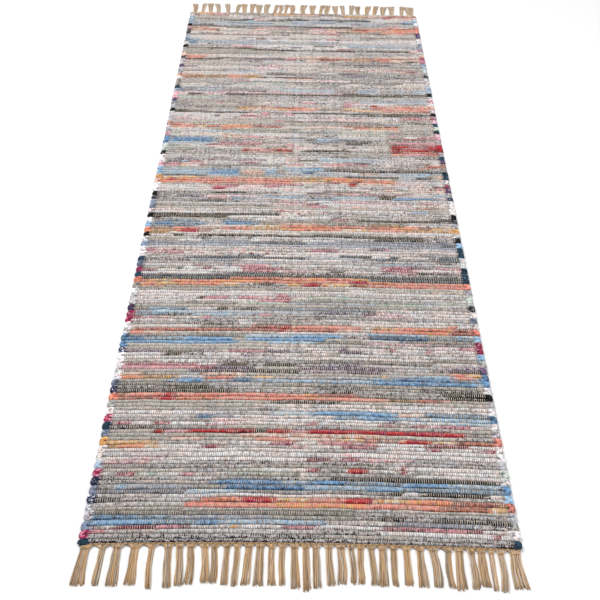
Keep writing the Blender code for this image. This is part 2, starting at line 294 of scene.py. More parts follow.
    "pale 22 haze 30 pale 50 haze 60 pale",
    "pale 12 pink 14 pale 18 plum 20 pink 23 dusty 28 white 52 crimson 59 plum 63 pink",
    "greige 8 charcoal 10 white 14 dusty 16 white 22 crimson 28 dusty 31 white 52 crimson 58 pink 60 "
    "white 62 pink",
    "pink 1 crimson 4 white 23 crimson 29 pink 37 white 41 charcoal 44 white 52 charcoal 53 pink 59 "
    "black 62 charcoal 66 fleck",
    "white 16 pale 20 teal 31 charcoal 45 fleck 50 charcoal 57 fleck 66 charcoal",
    "teal 31 charcoal 36 teal",
    "teal 20 orange 31 coral 36 orange 40 coral 46 ochre 49 teal",
    "orange 3 ochre 8 orange 13 coral 16 orange 27 coral 31 orange 36 coral 45 red 49 orange 55 "
    "coral",
    "ochre 2 orange 5 ochre 9 orange 18 ochre 22 fleck 26 black 29 fleck 32 ochre 35 red 39 ochre 45 "
    "orange 49 coral",
    "peach 6 greige 24 fleck 32 greige",
    "greige 45 white 50 greige",
    "white 68 greige",
    "white 30 dusty 32 white",
    "white 14 black 15 crimson 20 white 22 dusty 26 pink 30 dusty 33 white 36 mint 45 pale",
    "white 26 crimson 29 dusty 33 mint 60 haze 62 mint",
    "white 10 greige 22 mint 32 haze 50 mint 60 pale",
    "greige 42 pale 50 greige",
    "greige 4 sky 12 pale 18 black 20 pale 23 black 26 fleck 28 haze 50 white",
    "dusty 2 steel 5 sky 12 haze 38 plum 45 haze 47 plum 50 pink 55 white",
    "pink 2 sky 8 charcoal 13 sky 26 dusty 29 white 48 pink 56 white",
    "crimson 3 pink 9 white 15 dusty 17 pale 26 fleck 38 charcoal 39 fleck 60 pale",
    "white 13 charcoal 22 pale 25 fleck 33 greige 38 white",
    "fleck 12 charcoal 22 white 26 white 33 white 45 cream 64 coral 66 white",
    "cream 15 cream 25 coral 31 red 33 coral 47 cream 49 ochre 53 coral 57 orange 65 coral",
    "peach 2 coral 30 red 32 coral 42 peach 47 cream 49 coral 56 orange 64 coral",
    "coral 4 peach 8 greige 30 pale 48 sky 60 greige 65 sky",
    "fleck 15 greige 24 sky 33 denim 43 charcoal 48 denim 60 haze 64 sky",
    "denim 5 sky 12 denim 22 greige 24 denim 40 greige 47 pale 54 steel 56 greige",
    "denim 23 greige 28 sky 38 greige 48 pink 60 pale",
    "greige 28 cream 38 white 60 pink 66 dusty",
    "greige 28 white 42 plum 44 white 52 crimson 53 white 59 crimson 60 white",
    "plum 8 greige 16 plum 18 greige 21 dusty 28 plum 32 charcoal 37 white 42 plum 47 white",
    "pale 9 black 12 charcoal 16 white 24 plum 27 white",
    "white 8 pale 30 cream 60 greige",
    "greige 8 white 20 charcoal 24 fleck 35 greige 42 charcoal 47 greige 60 pale",
    "dusty 15 pink 20 black 25 charcoal 28 black 34 charcoal 37 plum 42 plum 46 pale 62 plum",
    "dusty 15 crimson 18 plum 22 plum 26 greige 35 plum 39 plum 51 pale 61 plum",
    "greige 14 plum 25 charcoal 34 plum 44 plum 50 greige 63 coral 66 ochre",
    "peach 5 pale 17 peach 24 greige 50 ochre 51 pale 55 sky 63 coral 68 sky",
    "orange 5 ochre 12 pale 17 coral 23 pale 26 ochre 30 pale 48 sky 52 denim 64 sky",
    "greige 10 sky 12 denim 17 haze 22 denim 26 sky 48 denim 68 sky",
    "greige 18 pale 30 greige",
    "charcoal 12 black 18 charcoal 23 greige 37 charcoal 45 greige 58 charcoal",
    "charcoal 23 fleck 40 charcoal 45 fleck 60 black",
    "orange 3 coral 10 red 12 coral 35 orange 38 coral 45 greige 56 fleck 62 black",
    "orange 2 coral 9 red 12 orange 20 coral 36 orange 38 coral 51 ochre 56 coral 61 greige",
    "greige 30 charcoal 42 greige 55 charcoal 57 greige",
    "greige 28 cream 31 white",
    "greige 18 pale 31 white",
    "white 20 pale 30 sky 37 denim 52 peach 57 sky",
    "white 16 denim 19 steel 24 white 41 sky 45 denim 52 sky",
    "white 19 pink 25 white 50 plum 52 white 62 sky 69 white",
    "crimson 1 white 2 crimson 5 white 9 crimson 11 white 19 pink 24 white 36 dusty 38 white 40 pink 42 "
    "white 49 pink 52 white 55 crimson 57 pink 60 crimson 65 pink 67 white",
    "charcoal 9 pale 20 greige 34 fleck 45 greige 58 fleck 62 greige",
    "greige 9 red 11 crimson 15 red 27 black 29 red 33 crimson 36 red 64 greige",
    "greige 24 peach 50 greige 62 fleck",
    "greige 12 peach 18 greige 27 coral 32 peach 42 ochre 46 coral 48 peach 52 red 58 ochre 62 "
    "orange",
    "ochre 10 pale 17 white 30 crimson 34 white 38 crimson 44 pink 46 crimson 48 white 57 crimson 64 "
    "white",
    "ochre 3 orange 8 ochre 10 white 18 crimson 21 white 33 pink 36 white 42 crimson 48 white 57 "
    "crimson 59 white 67 crimson 69 white",
    "white 38 pale 50 white",
    "pale 13 white 42 pink 46 white",
    "white 6 pink 12 white 36 crimson 40 white 42 crimson 45 pink 54 fleck",
    "pink 9 white 16 fleck 22 charcoal 30 fleck 50 pale 53 fleck",
    "pale 16 fleck 30 greige 50 white 52 crimson 53 white",
    "greige 16 pale 23 mint 28 white 36 crimson 38 white 43 red 46 white 52 crimson 53 white 54 mint 57 "
    "white",
    "white 4 crimson 7 mint 11 white 15 crimson 17 white 23 mint 35 white 38 pale 54 white",
    "charcoal 4 fleck 16 white 20 fleck 30 charcoal 34 greige 40 charcoal 47 black 66 charcoal",
    "charcoal 8 greige 20 denim 32 sky 36 denim 43 sky 52 denim 60 sky",
    "fleck 4 sky 6 steel 17 greige 22 denim 36 sky 46 denim 52 sky",
    "steel 16 sky 24 pale 50 black 52 white 55 black 66 white",
    "white 12 pale 22 white 46 white 60 white",
    "charcoal 5 fleck 10 pale 18 orange 25 red 31 ochre 36 coral 42 red 47 ochre 52 orange 60 coral 68 "
    "ochre",
    "white 16 coral 30 orange 46 coral 58 orange 66 ochre",
    "greige 44 pale 50 greige",
    "greige 44 fleck",
    "denim 9 sky 14 steel 30 greige 44 fleck 48 black 52 fleck 56 charcoal",
    "denim 12 sky 18 denim 22 sky 39 white 50 steel 64 white 66 navy",
    "crimson 2 white 5 crimson 12 dusty 17 white 24 ochre 25 white 32 dusty 38 white 48 dusty 55 "
    "crimson 58 dusty 62 crimson 64 white",
    "crimson 4 white 12 pale 38 charcoal 47 white 66 crimson 67 white",
    "fleck 8 charcoal 20 fleck 30 charcoal 38 greige 52 fleck",
    "charcoal 30 fleck 46 fleck 60 fleck 66 charcoal",
)
PICK_COUNT = len(CHART)

# The rags of the loops down each side: a rag, and how far from the far edge in mm it goes.
LEFT_LOOPS = (
    "greige 12 white 28 haze 80 black 100 pink 125 charcoal 145 pale 180 haze 215 white 224 black 245 "
    "greige 276 peach 303 charcoal 320 fleck 345 plum 375 pale 398 peach 426 white 446 greige 470 "
    "teal 488 haze 505 plum 518 pink 545 plum 562 pale 602 black 626 white 646 pale 672 peach 702 "
    "pale 738 pink 752 denim 776 mint 812 charcoal 830 white 866 pink 892 sky 932 ochre 950 peach 966 "
    "white 1000 black 1018 charcoal 1040 steel 1072 white 1094 black 1111 white 1120 sky 1142 "
    "orange 1164 black 1176 white 1198 steel 1216 white 1252 teal 1266 steel 1281 white 1294 "
    "crimson 1307 teal 1331 orange 1349 greige 1364 white 1406 sky 1423 plum 1438 crimson 1462 "
    "white 1510 denim 1532 greige 1544 navy 1562 white 1630 steel 1650 navy 1668 orange 1689 "
    "greige 1706 white 1726 crimson 1743 teal 1760 steel 1782 ochre 1801 print 1822 plum 1836 haze 1854 "
    "crimson 1872 navy 1890 steel 1908 navy 1926 pale 1935 fleck 1953 greige 1962 steel 1971 "
    "crimson 1989 teal 2000"
)
RIGHT_LOOPS = (
    "peach 20 white 38 sky 61 white 75 pale 91 coral 118 pink 132 plum 165 white 192 haze 226 pink 247 "
    "mint 275 peach 291 dusty 317 haze 352 mint 372 pale 398 charcoal 415 white 467 haze 502 black 521 "
    "white 532 charcoal 546 pink 561 white 576 peach 602 pale 613 black 636 pink 661 teal 690 mint 705 "
    "teal 720 pink 752 pale 766 white 778 red 812 pale 829 teal 846 plum 859 peach 877 greige 892 "
    "teal 942 print 960 dusty 974 plum 990 fleck 1012 navy 1024 white 1078 black 1096 charcoal 1111 "
    "pale 1131 ochre 1151 white 1166 black 1186 sky 1200 steel 1216 teal 1246 white 1287 teal 1327 "
    "white 1333 coral 1351 pale 1366 mint 1402 charcoal 1426 white 1441 steel 1461 white 1470 "
    "coral 1487 sky 1507 greige 1518 crimson 1542 sky 1564 greige 1581 plum 1599 ochre 1612 denim 1634 "
    "teal 1648 white 1659 black 1674 fleck 1690 white 1706 denim 1726 white 1744 fleck 1758 coral 1779 "
    "white 1817 fleck 1835 mint 1853 white 1873 denim 1891 sky 1909 coral 1927 fleck 1945 greige 1963 "
    "white 1981 teal 2000"
)

# One row for each tassel, from the left side of the rug, in mm: where its knot lies and where
# the middle of its tips lies, both from the left side; how wide its tips lie; and how far they
# reach past the corner of the body.
NEAR_TASSELS = (
    (12, 10, 22, 75), (39, 37, 11, 74), (62, 62, 17, 75), (90, 90, 17, 73),
    (116, 118, 10, 79), (142, 146, 14, 77), (160, 163, 13, 73), (177, 178, 13, 70),
    (199, 202, 13, 67), (214, 215, 11, 67), (234, 233, 10, 70), (250, 248, 10, 72),
    (268, 265, 14, 70), (286, 285, 14, 71), (304, 306, 11, 70), (321, 322, 10, 70),
    (340, 342, 13, 76), (358, 360, 11, 80), (374, 375, 12, 74), (394, 397, 12, 69),
    (413, 414, 15, 67), (429, 431, 9, 67), (444, 444, 11, 66), (461, 463, 11, 67),
    (479, 477, 15, 70), (496, 496, 10, 69), (516, 516, 12, 67), (537, 539, 14, 70),
    (558, 561, 15, 70), (582, 582, 11, 71), (599, 597, 15, 75), (618, 618, 13, 72),
    (634, 635, 15, 68), (649, 649, 9, 74), (664, 661, 12, 77), (687, 687, 23, 71),
)
FAR_TASSELS = (
    (12, 9, 13, 72), (37, 40, 11, 74), (60, 58, 14, 75), (85, 79, 14, 73),
    (116, 110, 12, 74), (143, 149, 11, 71), (166, 165, 14, 75), (189, 191, 13, 77),
    (211, 211, 16, 73), (234, 237, 15, 76), (260, 267, 10, 73), (276, 283, 11, 72),
    (294, 298, 9, 76), (315, 313, 15, 73), (349, 352, 15, 74), (379, 381, 16, 72),
    (403, 411, 11, 73), (422, 425, 14, 75), (452, 451, 14, 72), (475, 472, 12, 74),
    (499, 504, 12, 78), (521, 522, 12, 73), (548, 556, 15, 72), (571, 581, 13, 76),
    (598, 605, 15, 70), (625, 628, 16, 74), (657, 663, 11, 76), (683, 683, 24, 71),
)


# ---------------------------------------------------------------- sizes and colours


def linear(part):
    """One part of a screen colour, from 0 to 255, as the linear value that a shader takes."""
    share = part / 255
    return share / 12.92 if share <= 0.04045 else ((share + 0.055) / 1.055) ** 2.4


def colour(name, description, red, green, blue):
    """A colour property, from a screen colour."""
    return FloatVectorProperty(
        name=name, description=description, subtype="COLOR", size=3, min=0, max=1,
        default=(linear(red), linear(green), linear(blue)),
    )


def length(name, description, default):
    """A length property, in metres."""
    return FloatProperty(
        name=name, description=description, default=default, min=0, unit="LENGTH", subtype="DISTANCE"
    )


class RagColours(PropertyGroup):
    """The colours of the rags."""

    white: colour("White", "Washed white cotton", 248, 244, 243)
    cream: colour("Cream", "Unbleached cotton", 238, 231, 224)
    pale: colour("Pale grey", "Pale grey jersey", 201, 199, 203)
    greige: colour("Greige", "Grey-beige cotton", 178, 175, 168)
    smoke: colour("Smoke", "Dark grey jersey", 40, 40, 48)
    black: colour("Black", "Washed black cotton", 12, 12, 15)
    navy: colour("Navy", "Navy cotton", 40, 52, 88)
    steel: colour("Steel", "Grey-blue cotton", 134, 150, 174)
    slate: colour("Slate", "Dark blue-green cotton", 34, 66, 86)
    denim: colour("Denim", "Mid-blue denim", 110, 156, 198)
    sky: colour("Sky", "Light blue cotton", 152, 194, 224)
    haze: colour("Haze", "Faded blue cotton", 176, 196, 214)
    frost: colour("Frost", "Pale green-white cotton", 216, 220, 211)
    leaf: colour("Leaf", "Soft green print", 150, 188, 170)
    orange: colour("Orange", "Orange cotton", 240, 150, 124)
    coral: colour("Coral", "Red-orange cotton", 238, 146, 130)
    peach: colour("Peach", "Faded orange cotton", 230, 176, 154)
    ochre: colour("Ochre", "Yellow-orange cotton", 230, 174, 98)
    red: colour("Red", "Deep red cotton", 192, 50, 54)
    crimson: colour("Crimson", "Blue-red print", 162, 28, 80)
    rose: colour("Rose", "Pink print", 230, 164, 178)
    plum: colour("Plum", "Dark violet print", 100, 74, 120)


class YarnColours(PropertyGroup):
    """The colours of the warp yarns, which also make the fringe."""

    tan: colour("Tan", "Tan yarn", 204, 171, 133)
    ochre: colour("Ochre", "Yellow-brown yarn", 198, 155, 106)
    flax: colour("Flax", "Grey-brown yarn", 192, 170, 146)
    grey: colour("Grey", "Grey-beige yarn", 208, 190, 174)
    bleached: colour("Bleached", "The paler yarn that returns across the warp", 230, 222, 210)


class RugSettings(PropertyGroup):
    """The sizes of the weave and the fringe, and the place of the camera."""

    rag_height: length("Rag height", "Height of a rag between its yarns", 5.9 * MM)
    middle_height: length("Middle height", "Height of the weave's middle above the floor", 3.7 * MM)
    selvedge: length("Selvedge", "Width of the rag loops outside the last yarn", 14 * MM)
    ring_step: length("Ring step", "Distance between the cross-sections of a rag", 6.5 * MM)
    rag_lap: length("Rag lap", "How far two joined rags run past each other", 6 * MM)
    rag_fade: length("Rag fade", "How far the next rag's colour shows in a rag", 34 * MM)
    yarn_width: length("Yarn width", "Width of a warp yarn on the rags", 0.95 * MM)
    fringe_yarn: length("Fringe yarn", "Thickness of a loose fringe yarn", 1.75 * MM)
    warp_ends: IntProperty(name="Warp ends", description="Yarns across the rug", default=359, min=9)
    bleached_every: IntProperty(
        name="Bleached every", description="One warp end in so many is bleached", default=7, min=2
    )
    rags: PointerProperty(type=RagColours)
    yarns: PointerProperty(type=YarnColours)
    floor_colour: colour("Floor", "Colour of the floor", 246, 246, 246)
    camera_place: FloatVectorProperty(
        name="Camera", description="Where the camera stands", subtype="TRANSLATION", unit="LENGTH",
        default=(-0.0182, -1.9614, 1.3075),
    )
    camera_aim: FloatVectorProperty(
        name="Aim", description="The point of the floor at the middle of the picture",
        subtype="TRANSLATION", unit="LENGTH", default=(-0.0039, -0.3866, 0),
    )
    camera_roll: FloatProperty(
        name="Roll", description="How far the camera is tilted sideways", default=0.0212,
        subtype="ANGLE", unit="ROTATION",
    )
    camera_lens: FloatProperty(
        name="Lens", description="Focal length in millimetres", default=60, min=1
    )


# ---------------------------------------------------------------- shader expressions


class Socket:
    """A node's output that Python's operators work on."""

    def __init__(self, shader, socket):
        self.shader, self.socket = shader, socket

    def math(self, operation, *values):
        """A Math node on these values, in their order."""
        return self.shader.node("Math", {"operation": operation}, dict(enumerate(values)))

    def __add__(self, other):
        return self.math("ADD", self, other)

    __radd__ = __add__

    def __sub__(self, other):
        return self.math("SUBTRACT", self, other)

    def __rsub__(self, other):
        return self.math("SUBTRACT", other, self)

    def __mul__(self, other):
        return self.math("MULTIPLY", self, other)

    __rmul__ = __mul__

    def cosine(self):
        return self.math("COSINE", self)

    def step(self, low, high):
        """0 below low and 1 above high, with a soft step between them."""
        settings = {"interpolation_type": "SMOOTHSTEP"}
        return self.shader.node("MapRange", settings, {0: self, 1: low, 2: high, 3: 0.0, 4: 1.0})


class Shader:
    """A material's nodes, around one Principled BSDF."""

    def __init__(self, name):
        self.material = bpy.data.materials.new(name)
        self.material.use_nodes = True
        self.nodes = self.material.node_tree.nodes
        self.links = self.material.node_tree.links
        self.surface = self.nodes["Principled BSDF"]

    def node(self, kind, settings, inputs, output=0):
        """Adds a node, sets its settings and then its sockets, and returns one of its outputs."""
        made = self.nodes.new("ShaderNode" + kind)
        for key, value in settings.items():
            setattr(made, key, value)
        for key, value in inputs.items():
            self.set(made.inputs[key], value)
        return Socket(self, made.outputs[output])

    def set(self, socket, value):
        """Links a node's socket to an output, or sets its own value."""
        if isinstance(value, Socket):
            self.links.new(value.socket, socket)
        elif socket.type == "RGBA":
            socket.default_value = (*value, 1)
        else:
            socket.default_value = value

    def mix(self, share, first, second):
        """The first colour, going over to the second as share goes from 0 to 1."""
        return self.node("Mix", {"data_type": "RGBA"}, {0: share, 6: first, 7: second}, 2)

    def shaded(self, tone, shade):
        """The colour, made darker by a shade of less than 1."""
        multiply = {"data_type": "RGBA", "blend_type": "MULTIPLY"}
        return self.node("Mix", multiply, {0: 1.0, 6: tone, 7: shade}, 2)

    def stretched(self, uv, along, across):
        """The map's coordinates, in turns of a pattern along and across the strip."""
        scale = {"operation": "MULTIPLY"}
        return self.node("VectorMath", scale, {0: uv, 1: (along, across, 1)})

    def noise(self, vector, detail=2.0, rough=0.5):
        """A soft noise from 0 to 1, in the map's plane."""
        dimensions = {"noise_dimensions": "2D"}
        inputs = {"Vector": vector, "Scale": 1.0, "Detail": detail, "Roughness": rough}
        return self.node("TexNoise", dimensions, inputs)

    def bump(self, height, distance):
        return self.node("Bump", {}, {"Height": height, "Distance": distance, "Strength": 1.0})

    def finish(self, base, roughness, normal, sheen):
        """Sets up the surface, a matt cloth with some sheen, and returns the material."""
        self.set(self.surface.inputs["Base Color"], base)
        self.set(self.surface.inputs["Roughness"], roughness)
        self.set(self.surface.inputs["Normal"], normal)
        self.surface.inputs["Sheen Weight"].default_value = sheen
        self.surface.inputs["Sheen Roughness"].default_value = 0.5
        self.surface.inputs["Specular IOR Level"].default_value = 0.2
        return self.material


def strip_values(shader):
    """A strip's chance value, the phase of its yarn crossings in turns, and its third value: how
    near a rag is to a join, or 1 where a warp yarn lies under a pick, which its finish darkens
    with painted shade."""
    strip = shader.node("Attribute", {"attribute_name": "strip"}, {}, "Vector")
    return [shader.node("SeparateXYZ", {}, {0: strip}, part) for part in range(3)]


def brightness(tone):
    """How light a linear colour is, from 0 to 1."""
    return 0.2126 * tone[0] + 0.7152 * tone[1] + 0.0722 * tone[2]


# How light a rag's shading gets at its brightest, before the yarns pinch it, and how softly.
BRIGHTEST, BRIGHTEST_SOFTNESS = 1.0, 0.15

# What a rag's colours are multiplied by where its dye has washed out towards pink, and towards blue.
BLUSH, CHILL = (1.0, 0.895, 0.885), (0.895, 0.945, 1.0)

# The noises of a rag's finish: turns a metre along and across the strip, detail and roughness.
RAG_NOISES = {
    "folds": (22, 560, 2.5, 0.6),
    "lumps": (170, 250, 3.0, 0.65),
    "gathers": (250, 50, 1.5, 0.6),
    "specks": (340, 600, 1.5, 0.6),
    "fibres": (420, 1500, 2.0, 0.7),
    "drift": (24, 130, 2.0, 0.6),
    "mottle": (150, 110, 2.5, 0.6),
    "blots": (90, 210, 2.5, 0.65),
    "hollows": (16, 30, 2.0, 0.6),
}
RagNoises = namedtuple("RagNoises", RAG_NOISES)

# The values of a noise between which it goes from 0 to 1.
FOLDED, MOTTLED, SPECKED, HOLLOWED = (0.36, 0.52), (0.37, 0.61), (0.53, 0.66), (0.44, 0.60)
GLINTING, FIBROUS, DRIFTED, BLOTTED = (0.33, 0.44), (0.55, 0.8), (0.38, 0.62), (0.76, 0.84)


def rag_tone(shader, uv, noises, fabric, colours, strip, flank):
    """A rag's two colours in patches, blots of its neighbour near a join, and how its dye has washed
    out.
    """
    chance, _, joined = strip
    patch = 1 / (fabric.patch_mm * MM)
    patches = shader.noise(shader.stretched(uv, patch * 0.6, patch * 1.3), 3.0, 0.65)
    beside = shader.node("Attribute", {"attribute_name": "beside"}, {}, "Vector")
    level = 0.5 + (0.5 - fabric.share) * 0.5
    wide = fabric.softness / 2
    spread = patches + (chance - 0.5) * 0.14 - (0 - flank).step(0.1, 0.9) * 0.05
    second = spread.step(level - wide, level + wide)
    worn = shader.mix(second, getattr(colours, fabric.ground), getattr(colours, fabric.accent))
    worn = shader.mix((noises.blots + joined * 0.3).step(*BLOTTED), worn, beside)
    return shader.shaded(worn, shader.mix(noises.drift.step(*DRIFTED), BLUSH, CHILL))


def rag_shade(noises, fabric, chance, flank, pinch):
    """How light a rag is drawn: painted shade in its folds, lumps, gathers, specks and the seams at
    its sides and where the yarns pinch it, and its own tone from rag to rag and in mottled patches.
    """
    # Painted shade in the folds, lumps and gathers that the bump also raises, and painted specks of
    # shadow; the chance value and the mottle give each rag its own tone.
    shade = 0.5 + 0.5 * noises.folds.step(*FOLDED)
    shade = shade * (0.06 + 2.0 * noises.lumps) * (0.42 + 1.25 * chance)
    shade = shade * (0.62 + 0.8 * noises.gathers) * (1 - fabric.painted_specks * noises.specks.step(*SPECKED))
    shade = shade * (0.58 + 0.78 * noises.mottle.step(*MOTTLED)) * 1.08
    # Painted shade in patches along the seams at the rag's sides, where the next pick lies.
    shade = shade * (1 - flank.step(0.2, 0.95) * (0.55 * noises.hollows.step(*HOLLOWED)))
    shade = shade.math("SMOOTH_MIN", shade, BRIGHTEST, BRIGHTEST_SOFTNESS)
    # Painted shade where the yarns pinch the rag, lighter between them.
    return shade * (0.88 - 0.34 * pinch)


def rag_material(name, fabric, colours):
    """Torn cotton: patches of a second colour, folds along the strip, specks and the yarns' pinch,
    with painted shade, and painted highlights on its specks and fibres.
    """
    shader = Shader(name)
    uv = shader.node("UVMap", {"uv_map": "Strip"}, {})
    strip = strip_values(shader)
    flank = shader.node("Attribute", {"attribute_name": "flank"}, {}, "Fac")
    noises = RagNoises(*(
        shader.noise(shader.stretched(uv, along, across), detail, rough)
        for along, across, detail, rough in RAG_NOISES.values()
    ))
    chance, phase, _ = strip
    pinch = (phase * math.tau).cosine()
    tone = rag_tone(shader, uv, noises, fabric, colours, strip, flank)
    shade = rag_shade(noises, fabric, chance, flank, pinch)
    # Painted highlights: glints among the specks and lit fibres, mixed towards white; pale rags get more
    # of them, and more sheen, than dark ones.
    paleness = 0.14 + 0.86 * brightness(getattr(colours, fabric.ground))
    lit = 0.45 * fabric.painted_specks * (1 - noises.specks.step(*GLINTING))
    lit = lit + 0.22 * noises.fibres.step(*FIBROUS)
    tone_with_painted_highlights = shader.mix(lit * paleness, shader.shaded(tone, shade), colours.white)
    height = noises.folds * 1.1 + noises.lumps * 1.2 + noises.gathers * 0.6 + noises.fibres * 0.4
    normal = shader.bump(height - pinch * 0.45, 0.6 * MM)
    return shader.finish(tone_with_painted_highlights, 0.86 + 0.12 * noises.lumps, normal, 0.25 * paleness)


def yarn_material(name, ground, deeper, twist_mm):
    """A two-ply yarn: slanting plies along it, uneven tones and loose fibres, with painted shade along
    its plies and fibres and where it dives under a pick.
    """
    shader = Shader(name)
    uv = shader.node("UVMap", {"uv_map": "Strip"}, {})
    chance, _, sunk = strip_values(shader)
    along, across = (shader.node("SeparateXYZ", {}, {0: uv}, part) for part in range(2))
    plies = ((along + across * 0.9) * (math.tau / (twist_mm * MM))).cosine()
    tones = shader.noise(shader.stretched(uv, 120, 200), 2.0, 0.6)
    fibres = shader.noise(shader.stretched(uv, 500, 1600), 2.0, 0.7)
    base = shader.mix((tones * 0.8 + chance * 0.5).step(0.35, 0.85), ground, deeper)
    # Painted shade along the plies and fibres that the bump also raises; the chance value is each yarn's
    # own tone.
    shade = (0.95 + 0.07 * plies) * (0.86 + 0.3 * fibres) * (0.58 + 0.66 * chance)
    # Painted shade where the yarn dives under a pick.
    shade = shade * (1 - 0.45 * sunk.step(0.05, 0.6))
    height = plies * 0.7 + fibres * 0.6
    tone, normal = shader.shaded(base, shade), shader.bump(height, 0.2 * MM)
    return shader.finish(tone, 0.88 + 0.1 * fibres, normal, 0.2)


# ---------------------------------------------------------------- strips and yarns as meshes


class Strand(NamedTuple):
    """A tube: its cross-sections and its chance value; for each cross-section the phase of the
    yarns, how near it is to a join and the neighbouring rag's colour; and its finish."""

    rings: np.ndarray
    chance: float
    phases: np.ndarray
    joined: np.ndarray
    beside: np.ndarray
    finish: int = 0


def grid_faces(count, sides):
    """The faces between successive cross-sections, each as four (ring, side) steps."""
    ring, side = np.meshgrid(np.arange(count - 1), np.arange(sides), indexing="ij")
    rings = np.stack([ring, ring, ring + 1, ring + 1], axis=-1).reshape(-1, 4)
    edges = np.stack([side, side + 1, side + 1, side], axis=-1).reshape(-1, 4)
    return rings, edges


SHELF_HEIGHT = 12 * MM  # of the rows in which the texture map's strips are laid
SHELF_GAP = 1.01  # a strip's length with the gap after it, in lengths of the strip
ROW_MARGIN = 0.06  # of a row's height, kept free at its two sides


def shelf_places(lengths, shelf):
    """A row and a start for each strip, laid end to end in rows of the given length."""
    places, row, start = [], 0, 0.0
    for size in lengths:
        if start > 0 and start + size > shelf:
            row, start = row + 1, 0.0
        places.append((row, start))
        start += size * SHELF_GAP
    return places, row + 1


def pattern_map(along, across, chance):
    """Where the finishes read their patterns: metres along and across, moved by a chance value."""
    return np.stack([along + chance * 3, across + chance * 7], axis=1)


def add_maps(mesh, bake, strip):
    """Stores the texture map for baking and the map in metres along and around each strip."""
    for name, values in (("OFBake", bake), ("Strip", strip)):
        layer = mesh.uv_layers.new(name=name)
        layer.uv.foreach_set("vector", np.ascontiguousarray(values, np.float32).ravel())
    mesh.uv_layers["OFBake"].active_render = True


def add_strip_values(mesh, strip, beside=None):
    """Stores on the points each strip's chance value, crossing phase and third value, and for rags
    the colour of the rag that they meet there."""
    for name, values in (("strip", strip), ("beside", beside)):
        if values is not None:
            layer = mesh.attributes.new(name, "FLOAT_VECTOR", "POINT")
            layer.data.foreach_set("vector", np.ascontiguousarray(values, np.float32).ravel())


def add_flanks(mesh, sides):
    """Stores 1 on the points at the side of a rag, where the next pick shades it, 0 on its top and
    -1 on a loop."""
    layer = mesh.attributes.new("flank", "FLOAT", "POINT")
    layer.data.foreach_set("value", np.ascontiguousarray(sides, np.float32))


def add_object(name, vertices, faces, finishes, finish_of):
    """A smooth mesh object with its materials."""
    mesh = bpy.data.meshes.new(name)
    mesh.from_pydata(vertices.tolist(), [], faces)
    for finish in finishes:
        mesh.materials.append(finish)
    mesh.polygons.foreach_set("material_index", finish_of)
    mesh.shade_smooth()
    made = bpy.data.objects.new(name, mesh)
    bpy.context.scene.collection.objects.link(made)
    return made


def tubes(name, strands, finishes):
    """One object from many closed tubes, each with its own stretch of the texture map."""
    lengths = [np.linalg.norm(np.diff(s.rings.mean(axis=1), axis=0), axis=1) for s in strands]
    totals = [part.sum() for part in lengths]
    shelf = max(max(totals), math.sqrt(sum(totals) * SHELF_HEIGHT))
    places, rows = shelf_places(totals, shelf)
    vertices, faces, finish_of, bake, strip, values, beside = [], [], [], [], [], [], []
    start = 0
    for strand, part, total, (row, left) in zip(strands, lengths, totals, places):
        count, sides = strand.rings.shape[:2]
        ring, edge = grid_faces(count, sides)
        faces += (start + ring * sides + edge % sides).tolist()
        caps = [list(range(sides))[::-1], list(range((count - 1) * sides, count * sides))]
        faces += [[start + i for i in cap] for cap in caps]
        along = np.concatenate([[0], np.cumsum(part)])
        around = np.linalg.norm(np.diff(strand.rings[0][[0, *range(1, sides), 0]], axis=0), axis=1)
        around = np.concatenate([[0], np.cumsum(around)])
        u = np.concatenate([along[ring.ravel()], np.zeros(sides), np.full(sides, total)])
        v = np.concatenate([around[edge.ravel()], around[:sides][::-1], around[:sides]])
        in_row = ROW_MARGIN + (1 - 2 * ROW_MARGIN) * v / around[-1]
        bake.append(np.stack([(left + u) / (shelf * SHELF_GAP), (row + in_row) / rows], axis=1))
        strip.append(pattern_map(u, v, strand.chance))
        vertices.append(strand.rings.reshape(-1, 3))
        chances = np.full(count, strand.chance)
        values.append(np.repeat(np.stack([chances, strand.phases, strand.joined], 1), sides, axis=0))
        beside.append(np.repeat(strand.beside, sides, axis=0))
        finish_of += [strand.finish] * (len(ring) + len(caps))
        start += count * sides
    made = add_object(name, np.concatenate(vertices), faces, finishes, finish_of)
    add_maps(made.data, np.concatenate(bake), np.concatenate(strip))
    add_strip_values(made.data, np.concatenate(values), np.concatenate(beside))
    return made


def smooth_noise(rng, shape, step):
    """Random values from -1 to 1 along the last axis, even over about the given steps."""
    knots = shape[-1] // step + 3
    rough = rng.uniform(-1, 1, (*shape[:-1], knots))
    at = np.linspace(0, knots - 1.001, shape[-1])
    low = at.astype(int)
    share = at - low
    share = share * share * (3 - 2 * share)
    return rough[..., low] * (1 - share) + rough[..., low + 1] * share


def curve_through(points, places):
    """Points on smooth curves through the given ones, at places counted in those points."""
    first, last = 2 * points[:, :1] - points[:, 1:2], 2 * points[:, -1:] - points[:, -2:-1]
    ends = np.concatenate([first, points, last], 1)
    low = np.minimum(np.asarray(places).astype(int), points.shape[1] - 2)
    t = (np.asarray(places) - low)[None, :, None]
    a, b, c, d = (ends[:, low + i] for i in range(4))
    bend = (2 * a - 5 * b + 4 * c - d) * t**2 + (3 * b - a - 3 * c + d) * t**3
    return 0.5 * (2 * b + (c - a) * t + bend)


